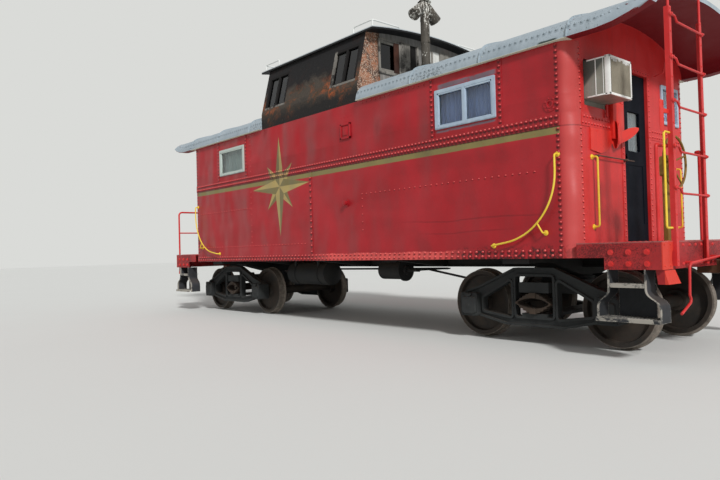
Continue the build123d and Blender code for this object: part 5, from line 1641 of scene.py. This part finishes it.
class CABOOSE_OT_truck_trim(bpy.types.Operator):
    """Bolt the truck frames and hinge the journal box lids"""

    bl_idname = "caboose.truck_trim"
    bl_label = "Truck trim"

    def execute(self, context):
        for name, end in ENDS.items():
            low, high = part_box(f"truck_frame_{name}")
            middle = end * (low.x + high.x) / 2
            metal = Metalwork(end)
            for side in SIDES.values():
                face, rim, out = side * (high.y - 0.022), side * TRUCK_RIM_Y, (0, side, 0)
                for x in (middle - AXLE_REACH, middle + AXLE_REACH):
                    hinge_y, hinge_z = face + side * 0.012, AXLE_Z + 0.128
                    metal.bar([(x - 0.05, hinge_y, hinge_z), (x + 0.05, hinge_y, hinge_z)], 0.012)
                    metal.turned((x, face + side * 0.010, AXLE_Z - 0.02), out,
                                 [(0, 0.05), (0.013, 0.047), (0.015, 0.02), (0.020, 0.018)], 16)
                    metal.heads([straight((x + k * 0.105, face - side * 0.004, AXLE_Z - 0.125),
                                          (x + k * 0.105, face - side * 0.004, AXLE_Z + 0.126), out)
                                 for k in (-1, 1)], 0.25, 0.030, "bolts", 0.010)
                metal.heads([straight((x, rim, 0.42), (x, rim, 0.76), out)
                             for x in (middle - 0.281, middle + 0.281)], 0.085, 0.024)
            metal.finish(f"truck_bolts_{name}", "truck_iron", "truck_charcoal", f"truck_{name}")
        return {"FINISHED"}


class CABOOSE_OT_cupola_trim(bpy.types.Operator):
    """Rivet the cupola and add its charred window trim"""

    bl_idname = "caboose.cupola_trim"
    bl_label = "Cupola trim"

    def execute(self, context):
        faces = [(x, way, side) for x, way in ((CUPOLA_HIGH_X, 1), (CUPOLA_LOW_X, -1))
                 for side in SIDES.values()]
        metal = Metalwork()
        rows = [straight((CUPOLA_LOW_X + 0.03, side * WALL_Y, z), (CUPOLA_HIGH_X - 0.03, side * WALL_Y, z),
                         (0, side, 0)) for side in SIDES.values() for z in (EAVE_Z + 0.035, EAVE_Z + 0.225)]
        for x, way, side in faces:
            rows.append(straight((x, side * 1.05, 3.76), (x, side * 1.03, 4.32), (way, 0, 0)))
            rows.append(straight((x, side * 0.46, 3.80), (x, side * 0.46, 4.38), (way, 0, 0)))
        metal.heads(rows, 0.085, 0.018)
        metal.finish("cupola_rivets", "burnt_sheet", "burnt_black", angle=60)
        for name, finish, slot, bevel, boards in CUPOLA_BOARDS:
            metal = Metalwork()
            for x, way, side in faces:
                for y0, y1, z0, z1, out in boards:
                    metal.block((x, side * y0, z0), (x + way * out, side * y1, z1), bevel)
            metal.finish(name, finish, slot)
        return {"FINISHED"}


def lay_floor(ground):
    """A wide floor in the ground's colour, faintly mottled."""
    make = Finish("studio_floor")
    soft = noise(places(make.tree)[0], 0.4, 4.0, 0.5)
    make.shade = over(soft, ground, tuple(channel * 1.03 for channel in ground))
    make.close(0.9)
    reach = 90.0
    mesh = bpy.data.meshes.new("floor_sheet")
    mesh.from_pydata([(-reach, -reach, 0), (reach, -reach, 0), (reach, reach, 0), (-reach, reach, 0)], [],
                     [(0, 1, 2, 3)])
    mesh.materials.append(make.material)
    placed("floor_sheet", mesh)


def make_sky(strength, ground):
    """An even white light, which camera, mirrors and glass see as the ground's colour."""
    world = bpy.data.worlds.new("studio")
    world.use_nodes = True
    tree = world.node_tree
    tree.nodes.clear()
    path = put(tree, "ShaderNodeLightPath").outputs
    seen = most(most(path["Is Camera Ray"], path["Is Glossy Ray"]), path["Is Transmission Ray"])
    light = put(tree, "ShaderNodeBackground", {"Color": (1, 1, 1), "Strength": strength}).outputs[0]
    back = put(tree, "ShaderNodeBackground", {"Color": ground, "Strength": 1.0}).outputs[0]
    mixed = put(tree, "ShaderNodeMixShader", {0: seen, 1: light, 2: back}).outputs[0]
    put(tree, "ShaderNodeOutputWorld", {0: mixed})
    return world


def hang_sun(strength):
    """One soft sun, high on the camera's side."""
    lamp = bpy.data.lights.new("key", "SUN")
    lamp.energy = strength
    lamp.angle = math.radians(7)
    key = placed("key", lamp)
    key.rotation_mode = "QUATERNION"
    key.rotation_quaternion = Vector((0.80, -0.40, 0.60)).to_track_quat("Z", "Y")


def aim_camera(stage):
    """The camera, from where the photograph was taken."""
    lens = bpy.data.cameras.new("camera")
    lens.lens = stage.lens
    lens.sensor_width = 36.0
    lens.clip_end = 300.0
    turn, pitch, roll = stage.turn, stage.pitch, stage.roll
    forward = Vector((-math.sin(turn) * math.cos(pitch), math.cos(turn) * math.cos(pitch), math.sin(pitch)))
    level = Vector((math.cos(turn), math.sin(turn), 0))
    upright = level.cross(forward)
    right = level * math.cos(roll) + upright * math.sin(roll)
    up = upright * math.cos(roll) - level * math.sin(roll)
    camera = placed("camera", lens)
    camera.matrix_world = (Matrix.Translation((stage.eye_x, stage.eye_y, stage.eye_z))
                           @ Matrix((right, up, -forward)).transposed().to_4x4())
    return camera


class CABOOSE_OT_stage(bpy.types.Operator):
    """Set the floor, lights and camera"""

    bl_idname = "caboose.stage"
    bl_label = "Stage"

    def execute(self, context):
        scene = context.scene
        stage = scene.caboose_stage
        ground = tuple(stage.ground)
        lay_floor(ground)
        scene.world = make_sky(stage.sky, ground)
        hang_sun(stage.sun)
        scene.camera = aim_camera(stage)
        scene.view_settings.view_transform = "Standard"
        return {"FINISHED"}


PIECES = (CABOOSE_OT_paint, CABOOSE_OT_rivets, CABOOSE_OT_roof_trim, CABOOSE_OT_side_fittings,
          CABOOSE_OT_end_fittings, CABOOSE_OT_curtains, CABOOSE_OT_conditioner, CABOOSE_OT_platform_trim,
          CABOOSE_OT_step_treads, CABOOSE_OT_grab_irons, CABOOSE_OT_sash_beads, CABOOSE_OT_jack_trim,
          CABOOSE_OT_truck_trim, CABOOSE_OT_cupola_trim, CABOOSE_OT_stage)


class CABOOSE_PT_panel(bpy.types.Panel):
    """Sizes, paints and pieces of the caboose"""

    bl_idname = "CABOOSE_PT_panel"
    bl_label = "Caboose"
    bl_space_type = "VIEW_3D"
    bl_region_type = "UI"
    bl_category = "Caboose"

    def draw(self, context):
        for operator in PIECES:
            self.layout.operator(operator.bl_idname)
        for owner in (context.scene.caboose_sizes, context.scene.caboose_paints, context.scene.caboose_stage):
            for name in owner.bl_rna.properties.keys():
                if name not in ("rna_type", "name"):
                    self.layout.prop(owner, name)


CLASSES = (CabooseSizes, CaboosePaints, CabooseStage, *PIECES, CABOOSE_PT_panel)


def register():
    for item in CLASSES:
        bpy.utils.register_class(item)
    bpy.types.Scene.caboose_sizes = PointerProperty(type=CabooseSizes)
    bpy.types.Scene.caboose_paints = PointerProperty(type=CaboosePaints)
    bpy.types.Scene.caboose_stage = PointerProperty(type=CabooseStage)


def unregister():
    del bpy.types.Scene.caboose_stage
    del bpy.types.Scene.caboose_paints
    del bpy.types.Scene.caboose_sizes
    for item in reversed(CLASSES):
        bpy.utils.unregister_class(item)


def main():
    """Make every piece and the stage."""
    register()
    bpy.ops.caboose.paint()
    bpy.ops.caboose.rivets()
    bpy.ops.caboose.roof_trim()
    bpy.ops.caboose.side_fittings()
    bpy.ops.caboose.end_fittings()
    bpy.ops.caboose.curtains()
    bpy.ops.caboose.conditioner()
    bpy.ops.caboose.platform_trim()
    bpy.ops.caboose.step_treads()
    bpy.ops.caboose.grab_irons()
    bpy.ops.caboose.sash_beads()
    bpy.ops.caboose.jack_trim()
    bpy.ops.caboose.truck_trim()
    bpy.ops.caboose.cupola_trim()
    bpy.ops.caboose.stage()


if __name__ == "__main__":
    main()
